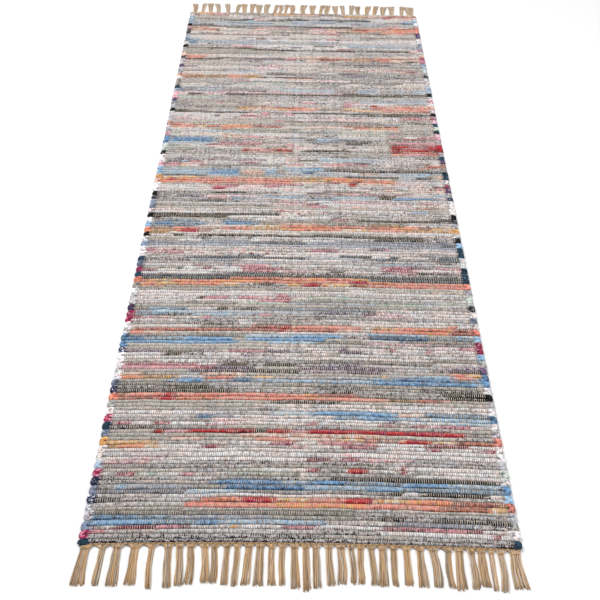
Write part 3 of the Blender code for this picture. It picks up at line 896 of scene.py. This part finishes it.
def swept(paths, radii, sides, reference=(0, 0, 1)):
    """Cross-sections along paths of the shape (paths, samples, 3)."""
    tangent = np.gradient(paths, axis=1)
    tangent /= np.linalg.norm(tangent, axis=2, keepdims=True)
    side = np.cross(tangent, np.array(reference, float))
    side /= np.linalg.norm(side, axis=2, keepdims=True)
    up = np.cross(side, tangent)
    angle = (np.arange(sides) * (math.tau / sides))[:, None]
    wide, high = (np.broadcast_to(r, paths.shape[:2])[:, :, None, None] for r in radii)
    around = side[:, :, None] * np.cos(angle) * wide + up[:, :, None] * np.sin(angle) * high
    return paths[:, :, None] + around


# ---------------------------------------------------------------- the weave's layout


def bow(x, y):
    """How far a pick is shifted towards the far end at this point."""
    along = (y - NEAR_END_Y) / BODY_LENGTH
    near_part = np.maximum(0, 1 - 2 * along)
    far_part = np.maximum(0, 2 * along - 1)
    depth = BOW_NEAR * near_part + BOW_FAR * far_part + BOW_MIDDLE * (1 - near_part - far_part)
    return depth * (1 - (2 * x / BODY_WIDTH) ** 2)


def runs_of(pick):
    """The rags along a pick, as (fabric, left, right) in metres from the rug's middle."""
    words = CHART[pick].split()
    names, ends = words[::2], [float(word) * CM - BODY_WIDTH / 2 for word in words[1::2]]
    edges = [-BODY_WIDTH / 2, *ends, BODY_WIDTH / 2]
    return list(zip(names, edges, edges[1:]))


# How much picks differ in width, as a whole and along themselves, how far they wave together, how
# far the yarns sink into the thickest rags, and how much a pick's height and tilt vary.
PICK_SPREAD, ALONG_SPREAD, WAVE = 0.24, 0.20, 1.3 * MM
SINK, HEIGHT_SPREAD, TILT = 0.6 * MM, 0.08, 0.5 * MM
CROWD = 2  # picks to each side that a pick shares its room with


class Layout:
    """Where each pick lies: its middle, half width and height at each place across the rug, and how
    far the yarns sink into it."""

    def __init__(self, settings):
        rng = np.random.default_rng(LAYOUT_SEED)
        self.inner = BODY_WIDTH / 2 - settings.selvedge
        self.pitch = 2 * self.inner / (settings.warp_ends - 1)
        self.half_height = settings.rag_height / 2
        self.middle_z = settings.middle_height
        count = round(2 * self.inner / settings.ring_step) + 1
        self.x = np.linspace(-self.inner, self.inner, count)
        self.runs = [runs_of(pick) for pick in range(PICK_COUNT)]
        bulk = self.bulk_of_runs()
        self.sink = SINK * np.clip((bulk - 1) * 4, 0, 1)
        pick_spread = PICK_SPREAD * rng.uniform(-1, 1, (PICK_COUNT, 1))
        bulk *= 1 + pick_spread + ALONG_SPREAD * smooth_noise(rng, bulk.shape, 10)
        seams = self.seams_of(bulk, rng)
        self.middle = (seams[:-1] + seams[1:]) / 2
        self.half = (seams[:-1] - seams[1:]) / 2
        evenness = 1 - HEIGHT_SPREAD + HEIGHT_SPREAD * smooth_noise(rng, bulk.shape, 5)
        self.height = self.half_height * evenness
        self.tilt = TILT * smooth_noise(rng, bulk.shape, 4)

    def bulk_of_runs(self):
        """How thick the chart's rags are at each place across, for every pick."""
        bulk = np.ones((PICK_COUNT, len(self.x)))
        for pick, runs in enumerate(self.runs):
            for name, left, right in runs:
                bulk[pick, (self.x >= left) & (self.x <= right)] = FABRICS[name].bulk
        return bulk

    def seams_of(self, bulk, rng):
        """Where one pick gives way to the next: thick picks push their neighbours aside."""
        ends = np.pad(bulk, ((CROWD, CROWD), (0, 0)), mode="reflect")
        crowd = 2 * CROWD + 1
        widths = bulk / (sum(ends[i : i + PICK_COUNT] for i in range(crowd)) / crowd)
        seams = np.concatenate([np.zeros((1, len(self.x))), np.cumsum(widths, axis=0)])
        seams = FAR_END_Y - seams * (BODY_LENGTH / seams[-1])
        inward = np.sin(np.linspace(0, math.pi, len(seams)))[:, None]
        wave = WAVE * smooth_noise(rng, (1, len(self.x)), 18) * inward
        return seams + (bow(self.x, seams) + wave)

    def phases(self, pick, x):
        """Where each place lies between the yarns that cross over this pick, in turns."""
        return (x + self.inner) / (2 * self.pitch) - (pick % 2) / 2

    def at(self, values, pick, x):
        """A pick's value at places across the rug."""
        return np.interp(x, self.x, values[pick])

    def column(self, values, x):
        """Every pick's value at one place across the rug."""
        return np.array([np.interp(x, self.x, row) for row in values])


# ---------------------------------------------------------------- the rags

# A rag's cross-section: how far across and up each corner lies, in half widths and half heights.
PROFILE = ((1, 0), (0.56, 1), (-0.56, 1), (-1, 0), (-0.56, -1), (0.56, -1))
OVERRUN = 2 * MM  # how far a rag runs on into its loops, and the least room between cross-sections
JOIN_THINNING = 0.7  # how much thinner a rag is at its end in a join
LUMPS = 0.07  # how much a rag's corners vary from one cross-section to the next


def flanks_of(strand):
    """1 for the points at the two sides of a rag, 0 for its others and -1 for a loop's."""
    count, sides = strand.rings.shape[:2]
    if sides != len(PROFILE):
        return np.full(count * sides, -1.0)
    return np.tile([float(not up) for _, up in PROFILE], count)


def rag_rings(layout, pick, left, right, settings, rng):
    """The cross-sections of one rag along a pick, which thins out where it joins another, and how
    near each is to the join at its left and at its right."""
    lap = settings.rag_lap
    joined_left, joined_right = left > -layout.inner, right < layout.inner
    start = max(left - lap, -layout.inner) if joined_left else -layout.inner - OVERRUN
    end = min(right + lap, layout.inner) if joined_right else layout.inner + OVERRUN
    inside = layout.x[(layout.x > start + OVERRUN) & (layout.x < end - OVERRUN)]
    x = np.concatenate([[start], inside, [end]])
    middle, half = layout.at(layout.middle, pick, x), layout.at(layout.half, pick, x)
    height, tilt = layout.at(layout.height, pick, x), layout.at(layout.tilt, pick, x)
    left_lap = joined_left * np.clip(1 - (x - start) / (2 * lap), 0, 1)
    right_lap = joined_right * np.clip(1 - (end - x) / (2 * lap), 0, 1)
    thin = 1 - JOIN_THINNING * np.maximum(left_lap, right_lap)
    shift = (right_lap - left_lap) * half * 0.35
    rings = np.empty((len(x), len(PROFILE), 3))
    for i, (across, up) in enumerate(PROFILE):
        lump = 1 + LUMPS * rng.uniform(-1, 1, len(x))
        rings[:, i, 0] = x
        rings[:, i, 1] = middle + shift + across * half * 0.985 * np.sqrt(thin) * (lump if up else 1)
        rings[:, i, 2] = layout.middle_z + up * height * thin * lump + tilt * across * (1 if up else 0)
    fade = min(settings.rag_fade, (end - start) / 2)
    near_left = joined_left * np.clip(1 - (x - start) / fade, 0, 1)
    near_right = joined_right * np.clip(1 - (end - x) / fade, 0, 1)
    return rings, near_left, near_right


# The cross-sections of a loop lie at these places, counted in the seven points that it is bent round.
LOOP_PLACES = np.linspace(0, 6, 13)
LOOP_HALF_WIDTH = 4.4 * MM
LOOP_SIDES = 7
LOOP_SLANT = {-1: 3.5 * MM, 1: 0.5 * MM}  # how far the loops of a side lean towards the near end


def loop_rings(layout, side, first, second, rng):
    """The turn of a rag at a side of the rug, from one pick round to the next."""
    x0 = side * layout.inner
    y0, y1 = (layout.at(layout.middle, pick, x0) for pick in (first, second))
    if first == second:  # the cut end of the first or last rag, tucked back into its own pick
        y0, y1 = y0 + 2 * MM, y1 - 2 * MM
    reach = BODY_WIDTH / 2 - layout.inner - rng.uniform(3.2, 4.6) * MM
    slant = rng.uniform(-1.2, 1.2) * MM - LOOP_SLANT[side]
    z = layout.middle_z
    points = np.array([[
        (x0 - side * 3 * MM, y0, z),
        (x0 + side * reach * 0.55, y0 * 1.08 - y1 * 0.08 + slant * 0.2, z + 0.2 * MM),
        (x0 + side * reach, y0 * 0.95 + y1 * 0.05 + slant * 0.6, z + 0.3 * MM),
        (x0 + side * reach, (y0 + y1) / 2 + slant, z + 0.3 * MM),
        (x0 + side * reach, y0 * 0.05 + y1 * 0.95 + slant * 0.6, z + 0.3 * MM),
        (x0 + side * reach * 0.55, y1 * 1.08 - y0 * 0.08 + slant * 0.2, z + 0.2 * MM),
        (x0 - side * 3 * MM, y1, z),
    ]])
    path = curve_through(points, LOOP_PLACES)
    uneven = rng.uniform(-1, 1, len(LOOP_PLACES))
    swell = 1 + 0.08 * np.sin(LOOP_PLACES * math.pi / LOOP_PLACES[-1]) + 0.06 * uneven
    return swept(path, (LOOP_HALF_WIDTH * swell, layout.half_height * 0.96 * swell), LOOP_SIDES)[0]


def rag_at(words, place):
    """The rag of a row of words, each rag with the place where it ends."""
    parts = words.split()
    return next(name for name, end in zip(parts[::2], parts[1::2]) if place <= float(end))


def loops(layout, rng):
    """(fabric, cross-sections) for each loop of the two sides."""
    made = []
    for side, words in ((-1, LEFT_LOOPS), (1, RIGHT_LOOPS)):
        pairs = [(pick, pick + 1) for pick in range(1 if side < 0 else 0, PICK_COUNT - 1, 2)]
        if side < 0:
            pairs = [(0, 0), *pairs, (PICK_COUNT - 1, PICK_COUNT - 1)]
        for a, b in pairs:
            place = (a + b + 1) / 2 * BODY_LENGTH / PICK_COUNT / MM
            made.append((rag_at(words, place), loop_rings(layout, side, a, b, rng)))
    return made


def pick_strands(layout, settings, tones, rng):
    """(fabric, strand) for each rag of every pick."""
    made = []
    for pick, runs in enumerate(layout.runs):
        names = [run[0] for run in runs]
        neighbours = zip([names[0], *names], [*names[1:], names[-1]])
        for (name, left, right), (before, after) in zip(runs, neighbours):
            rings, near_left, near_right = rag_rings(layout, pick, left, right, settings, rng)
            phases = layout.phases(pick, rings[:, 0, 0])
            beside = np.where((near_left > near_right)[:, None], tones[before], tones[after])
            joined = np.maximum(near_left, near_right)
            made.append((name, Strand(rings, rng.random(), phases, joined, beside)))
    return made


def loop_strands(layout, tones, rng):
    """(fabric, strand) for each loop of the two sides, in the darker chance values."""
    made, count = [], len(LOOP_PLACES)
    for name, rings in loops(layout, rng):
        beside = np.tile(tones[name], (count, 1))
        chance = rng.uniform(0.0, 0.6)
        made.append((name, Strand(rings, chance, np.full(count, 0.5), np.zeros(count), beside)))
    return made


class RAGRUG_OT_weave_rags(Operator):
    """Lay every rag pick of the chart and its selvedge loops, one piece for each kind of rag"""

    bl_idname = "ragrug.weave_rags"
    bl_label = "Weave the rags"

    def execute(self, context):
        settings = context.scene.ragrug
        layout = Layout(settings)
        rng = np.random.default_rng(RAG_SEED)
        tones = {name: np.array(getattr(settings.rags, FABRICS[name].ground)) for name in FABRICS}
        strands = {name: [] for name in FABRICS}
        for name, strand in pick_strands(layout, settings, tones, rng):
            strands[name].append(strand)
        for name, strand in loop_strands(layout, tones, rng):
            strands[name].append(strand)
        pieces = {}
        for name, fabric in FABRICS.items():
            if not strands[name]:
                raise RuntimeError(f"the chart has no {name} rag")
            group, finishes = pieces.setdefault(fabric.piece, ([], []))
            group.extend(strand._replace(finish=len(finishes)) for strand in strands[name])
            finishes.append(rag_material("rag_" + name, fabric, settings.rags))
        for piece, (group, finishes) in pieces.items():
            made = tubes(piece, group, finishes)
            add_flanks(made.data, np.concatenate([flanks_of(strand) for strand in group]))
            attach(made, "root")
        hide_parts(BODY_NODE)
        return {"FINISHED"}


# ---------------------------------------------------------------- the warp


FIRST_BLEACHED = 3  # the first of the bleached ends, counted from 0
WARP_MIX = ("tan", "flax", "flax", "grey", "grey", "grey", "grey", "bleached")


def yarn_of_end(index, settings, draw):
    """Which yarn a warp end is: every so many is bleached, and the rest are mixed."""
    if index % settings.bleached_every == FIRST_BLEACHED:
        return "bleached"
    return draw.choice(WARP_MIX)


# Half the length of a yarn's flat stretch on a pick and of the ridge on it, in half widths of the
# pick; how far the stretch lies off the rag; and how high the ridge stands on it.
FLAT_SHARE, RIDGE_SHARE = 0.56, 0.36
OFF_RAG, RIDGE_HEIGHT = 0.28 * MM, 0.55 * MM
WARP_MARGINS = (0.01, 0.1)  # of the texture map, kept free at a yarn's ends and at its two sides


def warp_points(layout, x, index, yarn_half):
    """The ribbon of one warp end, over one pick and under the next: the points of its two edges,
    those of its ridges, and the picks that it passes over."""
    tables = (layout.middle, layout.half, layout.height, layout.sink)
    middle, half, height, sink = (layout.column(table, x) for table in tables)
    over = (np.arange(PICK_COUNT) + index) % 2 == 0
    z = layout.middle_z + np.where(over, 1, -1) * (height * 1.02 + OFF_RAG) - over * sink
    y = np.stack([middle + FLAT_SHARE * half, middle - FLAT_SHARE * half], axis=1).ravel()
    z = np.repeat(z, 2)
    edges = np.stack([np.full(len(y), -yarn_half), np.full(len(y), yarn_half)], axis=1) + x
    points = np.stack([edges, np.repeat(y[:, None], 2, 1), np.repeat(z[:, None], 2, 1)], axis=2)
    ridge_y = np.stack([middle + RIDGE_SHARE * half, middle - RIDGE_SHARE * half], axis=1)[over]
    ridge_z = z.reshape(-1, 2)[over] + RIDGE_HEIGHT
    ridge = np.stack([np.full(ridge_y.shape, x), ridge_y, ridge_z], axis=2)
    return points, ridge, np.flatnonzero(over)


def warp_faces(crossings, over):
    """Faces of a ribbon's flat stretches, and of the ridged stretch on each pick it passes over."""
    flat = [i for i in range(crossings * 2 - 1) if i % 2 or i // 2 not in over]
    faces = [[2 * i, 2 * i + 2, 2 * i + 3, 2 * i + 1] for i in flat]
    base = 4 * crossings
    for number, pick in enumerate(sorted(over)):
        a = 4 * pick
        far_ridge, near_ridge = base + 2 * number, base + 2 * number + 1
        faces += [
            [a, a + 2, near_ridge, far_ridge],
            [a + 1, far_ridge, near_ridge, a + 3],
            [a, far_ridge, a + 1],
            [a + 2, a + 3, near_ridge],
        ]
    return faces


def warp_object(name, ends, layout, yarn_half, finish):
    """One object from the ribbons of the given warp ends, as (index, x, chance)."""
    vertices, faces, bake, strip, values = [], [], [], [], []
    start = 0
    for row, (index, x, chance) in enumerate(ends):
        points, ridge, over = warp_points(layout, x, index, yarn_half)
        flat = np.concatenate([points.reshape(-1, 3), ridge.reshape(-1, 3)])
        made = warp_faces(PICK_COUNT, set(over.tolist()))
        faces += [[start + i for i in face] for face in made]
        corner = np.concatenate([np.array(face) for face in made])
        u = (FAR_END_Y - flat[:, 1]) / BODY_LENGTH
        v = (flat[:, 0] - x) / (2 * yarn_half) + 0.5
        at_end, at_side = WARP_MARGINS
        in_map, in_row = at_end + (1 - 2 * at_end) * u, at_side + (1 - 2 * at_side) * v
        bake.append(np.stack([in_map, (row + in_row) / len(ends)], axis=1)[corner])
        strip.append(pattern_map(u * BODY_LENGTH, v * 2 * yarn_half, chance)[corner])
        vertices.append(flat)
        # 1 where the yarn lies under a pick, which its finish darkens with painted shade.
        sunk = flat[:, 2] < layout.middle_z
        values.append(np.stack([np.full(len(flat), chance), np.zeros(len(flat)), sunk], axis=1))
        start += len(flat)
    made = add_object(name, np.concatenate(vertices), faces, [finish], [0] * len(faces))
    add_maps(made.data, np.concatenate(bake), np.concatenate(strip))
    add_strip_values(made.data, np.concatenate(values))
    return made


# The second tone of each yarn.
YARN_TONES = {"tan": "ochre", "ochre": "tan", "flax": "tan", "grey": "flax", "bleached": "grey"}

# A yarn's twist in mm, and the yarn that its tones are drawn towards, with the share.
# The warps are drawn 55% of the way to the bleached yarn, paler than the same yarns in the fringe: a
# painted highlight on their tops over the picks.
WARP_FINISH = (2.4, "bleached", 0.55)
FRINGE_FINISH = (3.2, "tan", 0.3)
EDGE_ENDS = 2  # warp ends at each side that are ochre


def yarn_finish(name, settings, twist_mm, toward, share):
    """The finish of a yarn whose two tones are drawn by a share towards another yarn's."""
    target = getattr(settings.yarns, toward)
    grounds = [getattr(settings.yarns, tone) for tone in (name, YARN_TONES[name])]
    tones = [[a + (b - a) * share for a, b in zip(ground, target)] for ground in grounds]
    return yarn_material("yarn_" + name, *tones, twist_mm)


class RAGRUG_OT_weave_warp(Operator):
    """Lead every warp end over and under the picks, one piece for each colour of yarn"""

    bl_idname = "ragrug.weave_warp"
    bl_label = "Weave the warp"

    def execute(self, context):
        settings = context.scene.ragrug
        layout = Layout(settings)
        draw = random.Random(WARP_SEED)
        groups = {name: [] for name in YARN_TONES}
        places = np.linspace(-layout.inner, layout.inner, settings.warp_ends)
        for index, x in enumerate(places):
            name = yarn_of_end(index, settings, draw)
            if index < EDGE_ENDS or index >= settings.warp_ends - EDGE_ENDS:
                name = "ochre"
            groups[name].append((index, x + draw.uniform(-0.12, 0.12) * MM, draw.random()))
        for name, ends in groups.items():
            finish = yarn_finish(name, settings, *WARP_FINISH)
            made = warp_object("warp_" + name, ends, layout, settings.yarn_width / 2, finish)
            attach(made, "root")
            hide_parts(BODY_NODE)
        return {"FINISHED"}


# ---------------------------------------------------------------- the fringes


class End(NamedTuple):
    """An end of the rug: its pieces' name, tassels, corner line, direction outward and node, the
    shares of the yarns in the order of their tones, and how much wider its tassels' tips are."""

    name: str
    tassels: tuple
    corner_y: float
    outward: int
    node: str
    shares: tuple
    fullness: float


ENDS = (
    End("near", NEAR_TASSELS, NEAR_END_Y, -1, NEAR_NODE, (0.34, 0.20, 0.12, 0.18, 0.16), 1.05),
    End("far", FAR_TASSELS, FAR_END_Y, 1, FAR_NODE, (0.18, 0.05, 0.15, 0.28, 0.34), 1.4),
)
HEADING_SHARES = (0.6, 0.3, 0.1, 0, 0)  # of the yarns in the headings and the coils of the knots
HEADING_POINTS = 330
HEADING_TWIST = 9 * MM  # from one turn of its two cords to the next
HEADING_RADIUS, COIL_RADIUS = 1.05 * MM, 0.7 * MM
COIL_TURNS, COIL_POINTS = 1.5, 18
KNOT_REACH = 9 * MM  # from the edge of the body to the middle of a knot
YARN_SIDES = 5
YARNS_A_WIDTH = 1.65  # loose yarns in a yarn's width of the tips, as they lie in two layers
LEAST_YARNS = 9
LOWER_LAYER, UPPER_LAYER = 0.5, 1.3  # how high the loose yarns lie, in thicknesses of a yarn
TIP_SHARES = (0.22, 0.48, 0.75, 1.0)  # the last bends of a yarn, as shares of the way to its tip

# The cross-sections of a tassel's yarn, counted in the bends of its path.
TASSEL_PLACES = (0, 0.5, 1, 1.5, 2, 2.5, 3, 3.5, 4, 4.7, 5.4, 6.2, 7)


def edge_y(end, x):
    """The edge of the woven body at this place across."""
    return end.corner_y + bow(x, np.full_like(np.asarray(x, float), end.corner_y))


def knot_half(tassel):
    """Half the width of a tassel at its knot, a share of its spread."""
    return 1.3 * MM + 0.24 * tassel[2] * MM


def tassel_paths(end, tassel, bounds, settings, rng):
    """The paths of a tassel's yarns, from the edge through the knot to the tips."""
    knot, tip, spread, reach = (value * MM for value in tassel)
    spread *= end.fullness
    knot_x, tip_x = knot - BODY_WIDTH / 2, tip - BODY_WIDTH / 2
    count = max(LEAST_YARNS, round(spread / settings.fringe_yarn * YARNS_A_WIDTH))
    place = np.linspace(-1, 1, count)
    start_x = bounds[0] + (place + 1) / 2 * (bounds[1] - bounds[0])
    out, thick, half = end.outward, settings.fringe_yarn, knot_half(tassel)
    edge, knot_y = edge_y(end, start_x), edge_y(end, knot_x) + out * KNOT_REACH
    knotted = np.clip(place + rng.uniform(-0.45, 0.45, count), -1, 1)
    lift = np.where(np.arange(count) % 2, UPPER_LAYER, LOWER_LAYER) * thick
    crown = 1.9 * MM * (1 - place**2)
    end_x = tip_x + (place + rng.uniform(-0.16, 0.16, count)) * (spread - thick) / 2
    end_y = end.corner_y + out * (reach - rng.uniform(0, 1, count) ** 2 * 6 * MM)
    # The bends in the heading, on the way to the knot and at the knot's two sides.
    first = (
        (start_x, edge - out * 2 * MM, 2.6 * MM),
        (start_x * 0.84 + knot_x * 0.16, edge + out * 2.2 * MM, 2.9 * MM),
        (knot_x + knotted * half * 1.2, knot_y - out * 2.2 * MM, 2.1 * MM + crown),
        (knot_x + knotted * half, knot_y + out * 1.8 * MM, 0.6 * lift + 1.2 * MM),
    )
    paths = np.zeros((count, len(first) + len(TIP_SHARES), 3))
    for i, (x, y, z) in enumerate(first):
        paths[:, i, 0], paths[:, i, 1], paths[:, i, 2] = x, y, z
    sway = rng.uniform(-2.4, 2.4) * MM
    for i, share in enumerate(TIP_SHARES, len(first)):
        wander = rng.uniform(-0.8, 0.8, count) * MM + sway * math.sin(share * math.pi)
        paths[:, i, :2] = paths[:, 3, :2] * (1 - share) + np.stack([end_x, end_y], 1) * share
        paths[:, i, 0] += wander
        paths[:, i, 2] = lift + 0.05 * MM
    return curve_through(paths, TASSEL_PLACES)


def knot_coil(end, tassel, rng):
    """The yarn wound round a tassel's root, as a short coil."""
    knot_x, half = tassel[0] * MM - BODY_WIDTH / 2, knot_half(tassel) + 0.1 * MM
    turn = np.linspace(0, 1, COIL_POINTS)
    angle = turn * COIL_TURNS * math.tau + rng.uniform(0, math.tau)
    y = edge_y(end, knot_x) + end.outward * (KNOT_REACH + (3.0 * turn - 1.7) * MM)
    x = knot_x + half * np.cos(angle)
    z = 2.6 * MM + 1.9 * MM * np.sin(angle)
    return np.stack([x, y, z], axis=1)[None]


def heading_paths(end):
    """The two twined cords that hold the last pick, along the edge."""
    half = BODY_WIDTH / 2 - 4 * MM
    x = np.linspace(-half, half, HEADING_POINTS)
    paths = []
    for phase in (0, math.pi):
        angle = x / HEADING_TWIST * math.tau + phase
        y = edge_y(end, x) + end.outward * (1.3 + 0.7 * np.cos(angle)) * MM
        z = (3.2 + 1.2 * np.sin(angle)) * MM
        paths.append(np.stack([x, y, z], axis=1))
    return np.array(paths)


def tassel_bounds(tassels):
    """The stretch of the edge whose warp ends go to each tassel."""
    knots = [row[0] * MM - BODY_WIDTH / 2 for row in tassels]
    cuts = [(a + b) / 2 for a, b in zip(knots, knots[1:])]
    half = BODY_WIDTH / 2 - 5 * MM
    return list(zip([-half, *cuts], [*cuts, half]))


def yarn_strand(rings, shares, rng):
    """The strand of one yarn, in a tone drawn by its share."""
    finish = int(rng.choice(len(shares), p=shares))
    plain = np.zeros(len(rings))
    return Strand(rings, rng.random(), plain, plain, np.zeros((len(rings), 3)), finish)


class RAGRUG_OT_knot_fringes(Operator):
    """Twine the heading, tie the knots and lay the loose yarns at both ends of the rug"""

    bl_idname = "ragrug.knot_fringes"
    bl_label = "Knot the fringes"

    def execute(self, context):
        settings = context.scene.ragrug
        finishes = [yarn_finish(name, settings, *FRINGE_FINISH) for name in YARN_TONES]
        radius = settings.fringe_yarn / 2
        for number, end in enumerate(ENDS):
            rng = np.random.default_rng(FRINGE_SEED + number)
            heading = swept(heading_paths(end), (HEADING_RADIUS, HEADING_RADIUS), YARN_SIDES)
            strands = [yarn_strand(rings, HEADING_SHARES, rng) for rings in heading]
            yarns = []
            for tassel, bounds in zip(end.tassels, tassel_bounds(end.tassels)):
                paths = tassel_paths(end, tassel, bounds, settings, rng)
                shares = end.shares * rng.uniform(0.25, 1.75, len(end.shares))
                shares /= shares.sum()
                loose_yarns = swept(paths, (radius, radius), YARN_SIDES)
                yarns += [yarn_strand(rings, shares, rng) for rings in loose_yarns]
                turns = knot_coil(end, tassel, rng)
                coil = swept(turns, (COIL_RADIUS, COIL_RADIUS), YARN_SIDES, (0, 1, 0))[0]
                strands.append(yarn_strand(coil, HEADING_SHARES, rng))
            knots = tubes(f"{end.name}_heading", strands, finishes)
            loose = tubes(f"{end.name}_fringe", yarns, finishes)
            for made in (knots, loose):
                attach(made, "root")
                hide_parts(end.node)
        return {"FINISHED"}


# ---------------------------------------------------------------- the stage


FLOOR_HALF = 15.0  # metres from the middle of the floor to its sides

# The soft lamps: name, place, width of the disk in metres and power in watts.
LAMPS = (
    ("key", (-1.6, 0.8, 3.2), 2.0, 96.0),
    ("fill", (1.8, -1.2, 3.0), 3.0, 36.0),
)


class RAGRUG_OT_set_stage(Operator):
    """Lay the floor, hang the soft lights and place the camera"""

    bl_idname = "ragrug.set_stage"
    bl_label = "Set the stage"

    def execute(self, context):
        settings = context.scene.ragrug
        self.lay_floor(settings)
        self.light_room(context.scene)
        self.place_camera(context.scene, settings)
        return {"FINISHED"}

    def lay_floor(self, settings):
        mesh = bpy.data.meshes.new("floor")
        signs = ((-1, -1), (1, -1), (1, 1), (-1, 1))
        corners = [(across * FLOOR_HALF, along * FLOOR_HALF, 0) for across, along in signs]
        mesh.from_pydata(corners, [], [(0, 1, 2, 3)])
        floor = bpy.data.objects.new("floor", mesh)
        bpy.context.scene.collection.objects.link(floor)
        shader = Shader("pale_floor")
        where = shader.node("NewGeometry", {}, {}, "Position")
        cloud = shader.noise(shader.stretched(where, 1.5, 1.5))
        base = shader.mix(cloud * 0.05, settings.floor_colour, (0.86, 0.86, 0.86))
        shader.set(shader.surface.inputs["Base Color"], base)
        shader.surface.inputs["Roughness"].default_value = 0.7
        shader.surface.inputs["Specular IOR Level"].default_value = 0.1
        mesh.materials.append(shader.material)

    def light_room(self, scene):
        world = bpy.data.worlds.new("soft_white")
        world.use_nodes = True
        background = world.node_tree.nodes["Background"]
        background.inputs["Color"].default_value = (1, 1, 1, 1)
        background.inputs["Strength"].default_value = 0.5
        scene.world = world
        scene.view_settings.view_transform = "Standard"
        for name, place, size, power in LAMPS:
            light = bpy.data.lights.new(name, "AREA")
            light.shape, light.size, light.energy = "DISK", size, power
            lamp = bpy.data.objects.new(name, light)
            lamp.location = place
            lamp.rotation_euler = (-Vector(place)).to_track_quat("-Z", "Y").to_euler()
            scene.collection.objects.link(lamp)

    def place_camera(self, scene, settings):
        lens = bpy.data.cameras.new("camera")
        lens.lens, lens.sensor_width = settings.camera_lens, 36
        camera = bpy.data.objects.new("camera", lens)
        place, aim = Vector(settings.camera_place), Vector(settings.camera_aim)
        look = (aim - place).to_track_quat("-Z", "Y").to_matrix()
        roll = Matrix.Rotation(settings.camera_roll, 3, "Z")
        camera.matrix_world = Matrix.Translation(place) @ (look @ roll).to_4x4()
        scene.collection.objects.link(camera)
        scene.camera = camera


# ---------------------------------------------------------------- the add-on


OPERATORS = (
    RAGRUG_OT_weave_rags,
    RAGRUG_OT_weave_warp,
    RAGRUG_OT_knot_fringes,
    RAGRUG_OT_set_stage,
)


class RAGRUG_PT_panel(Panel):
    """Lists the steps of making the rug, its sizes and its colours"""

    bl_idname = "RAGRUG_PT_panel"
    bl_label = "Rag rug"
    bl_space_type = "VIEW_3D"
    bl_region_type = "UI"
    bl_category = "Rag rug"

    def draw(self, context):
        settings = context.scene.ragrug
        for operator in OPERATORS:
            self.layout.operator(operator.bl_idname)
        for group in (settings, settings.rags, settings.yarns):
            for name in type(group).__annotations__:
                if name not in ("rags", "yarns"):
                    self.layout.prop(group, name)


CLASSES = (RagColours, YarnColours, RugSettings, *OPERATORS, RAGRUG_PT_panel)


def register():
    for cls in CLASSES:
        bpy.utils.register_class(cls)
    bpy.types.Scene.ragrug = PointerProperty(type=RugSettings)


def unregister():
    del bpy.types.Scene.ragrug
    for cls in reversed(CLASSES):
        bpy.utils.unregister_class(cls)


def main_piece_area():
    """How much of the rug's plan the main piece's rags cover, in square metres."""
    widths = [
        right - left
        for pick in range(PICK_COUNT)
        for name, left, right in runs_of(pick)
        if FABRICS[name].piece == MAIN_PIECE
    ]
    return sum(widths) * BODY_LENGTH / PICK_COUNT


def declare_cloth():
    """Works out how much of the rug's plan the main piece's rags cover, and leaves the number unused."""
    main_piece_area()


def main():
    register()
    bpy.ops.ragrug.weave_rags()
    bpy.ops.ragrug.weave_warp()
    bpy.ops.ragrug.knot_fringes()
    bpy.ops.ragrug.set_stage()
    declare_cloth()


if __name__ == "__main__":
    main()
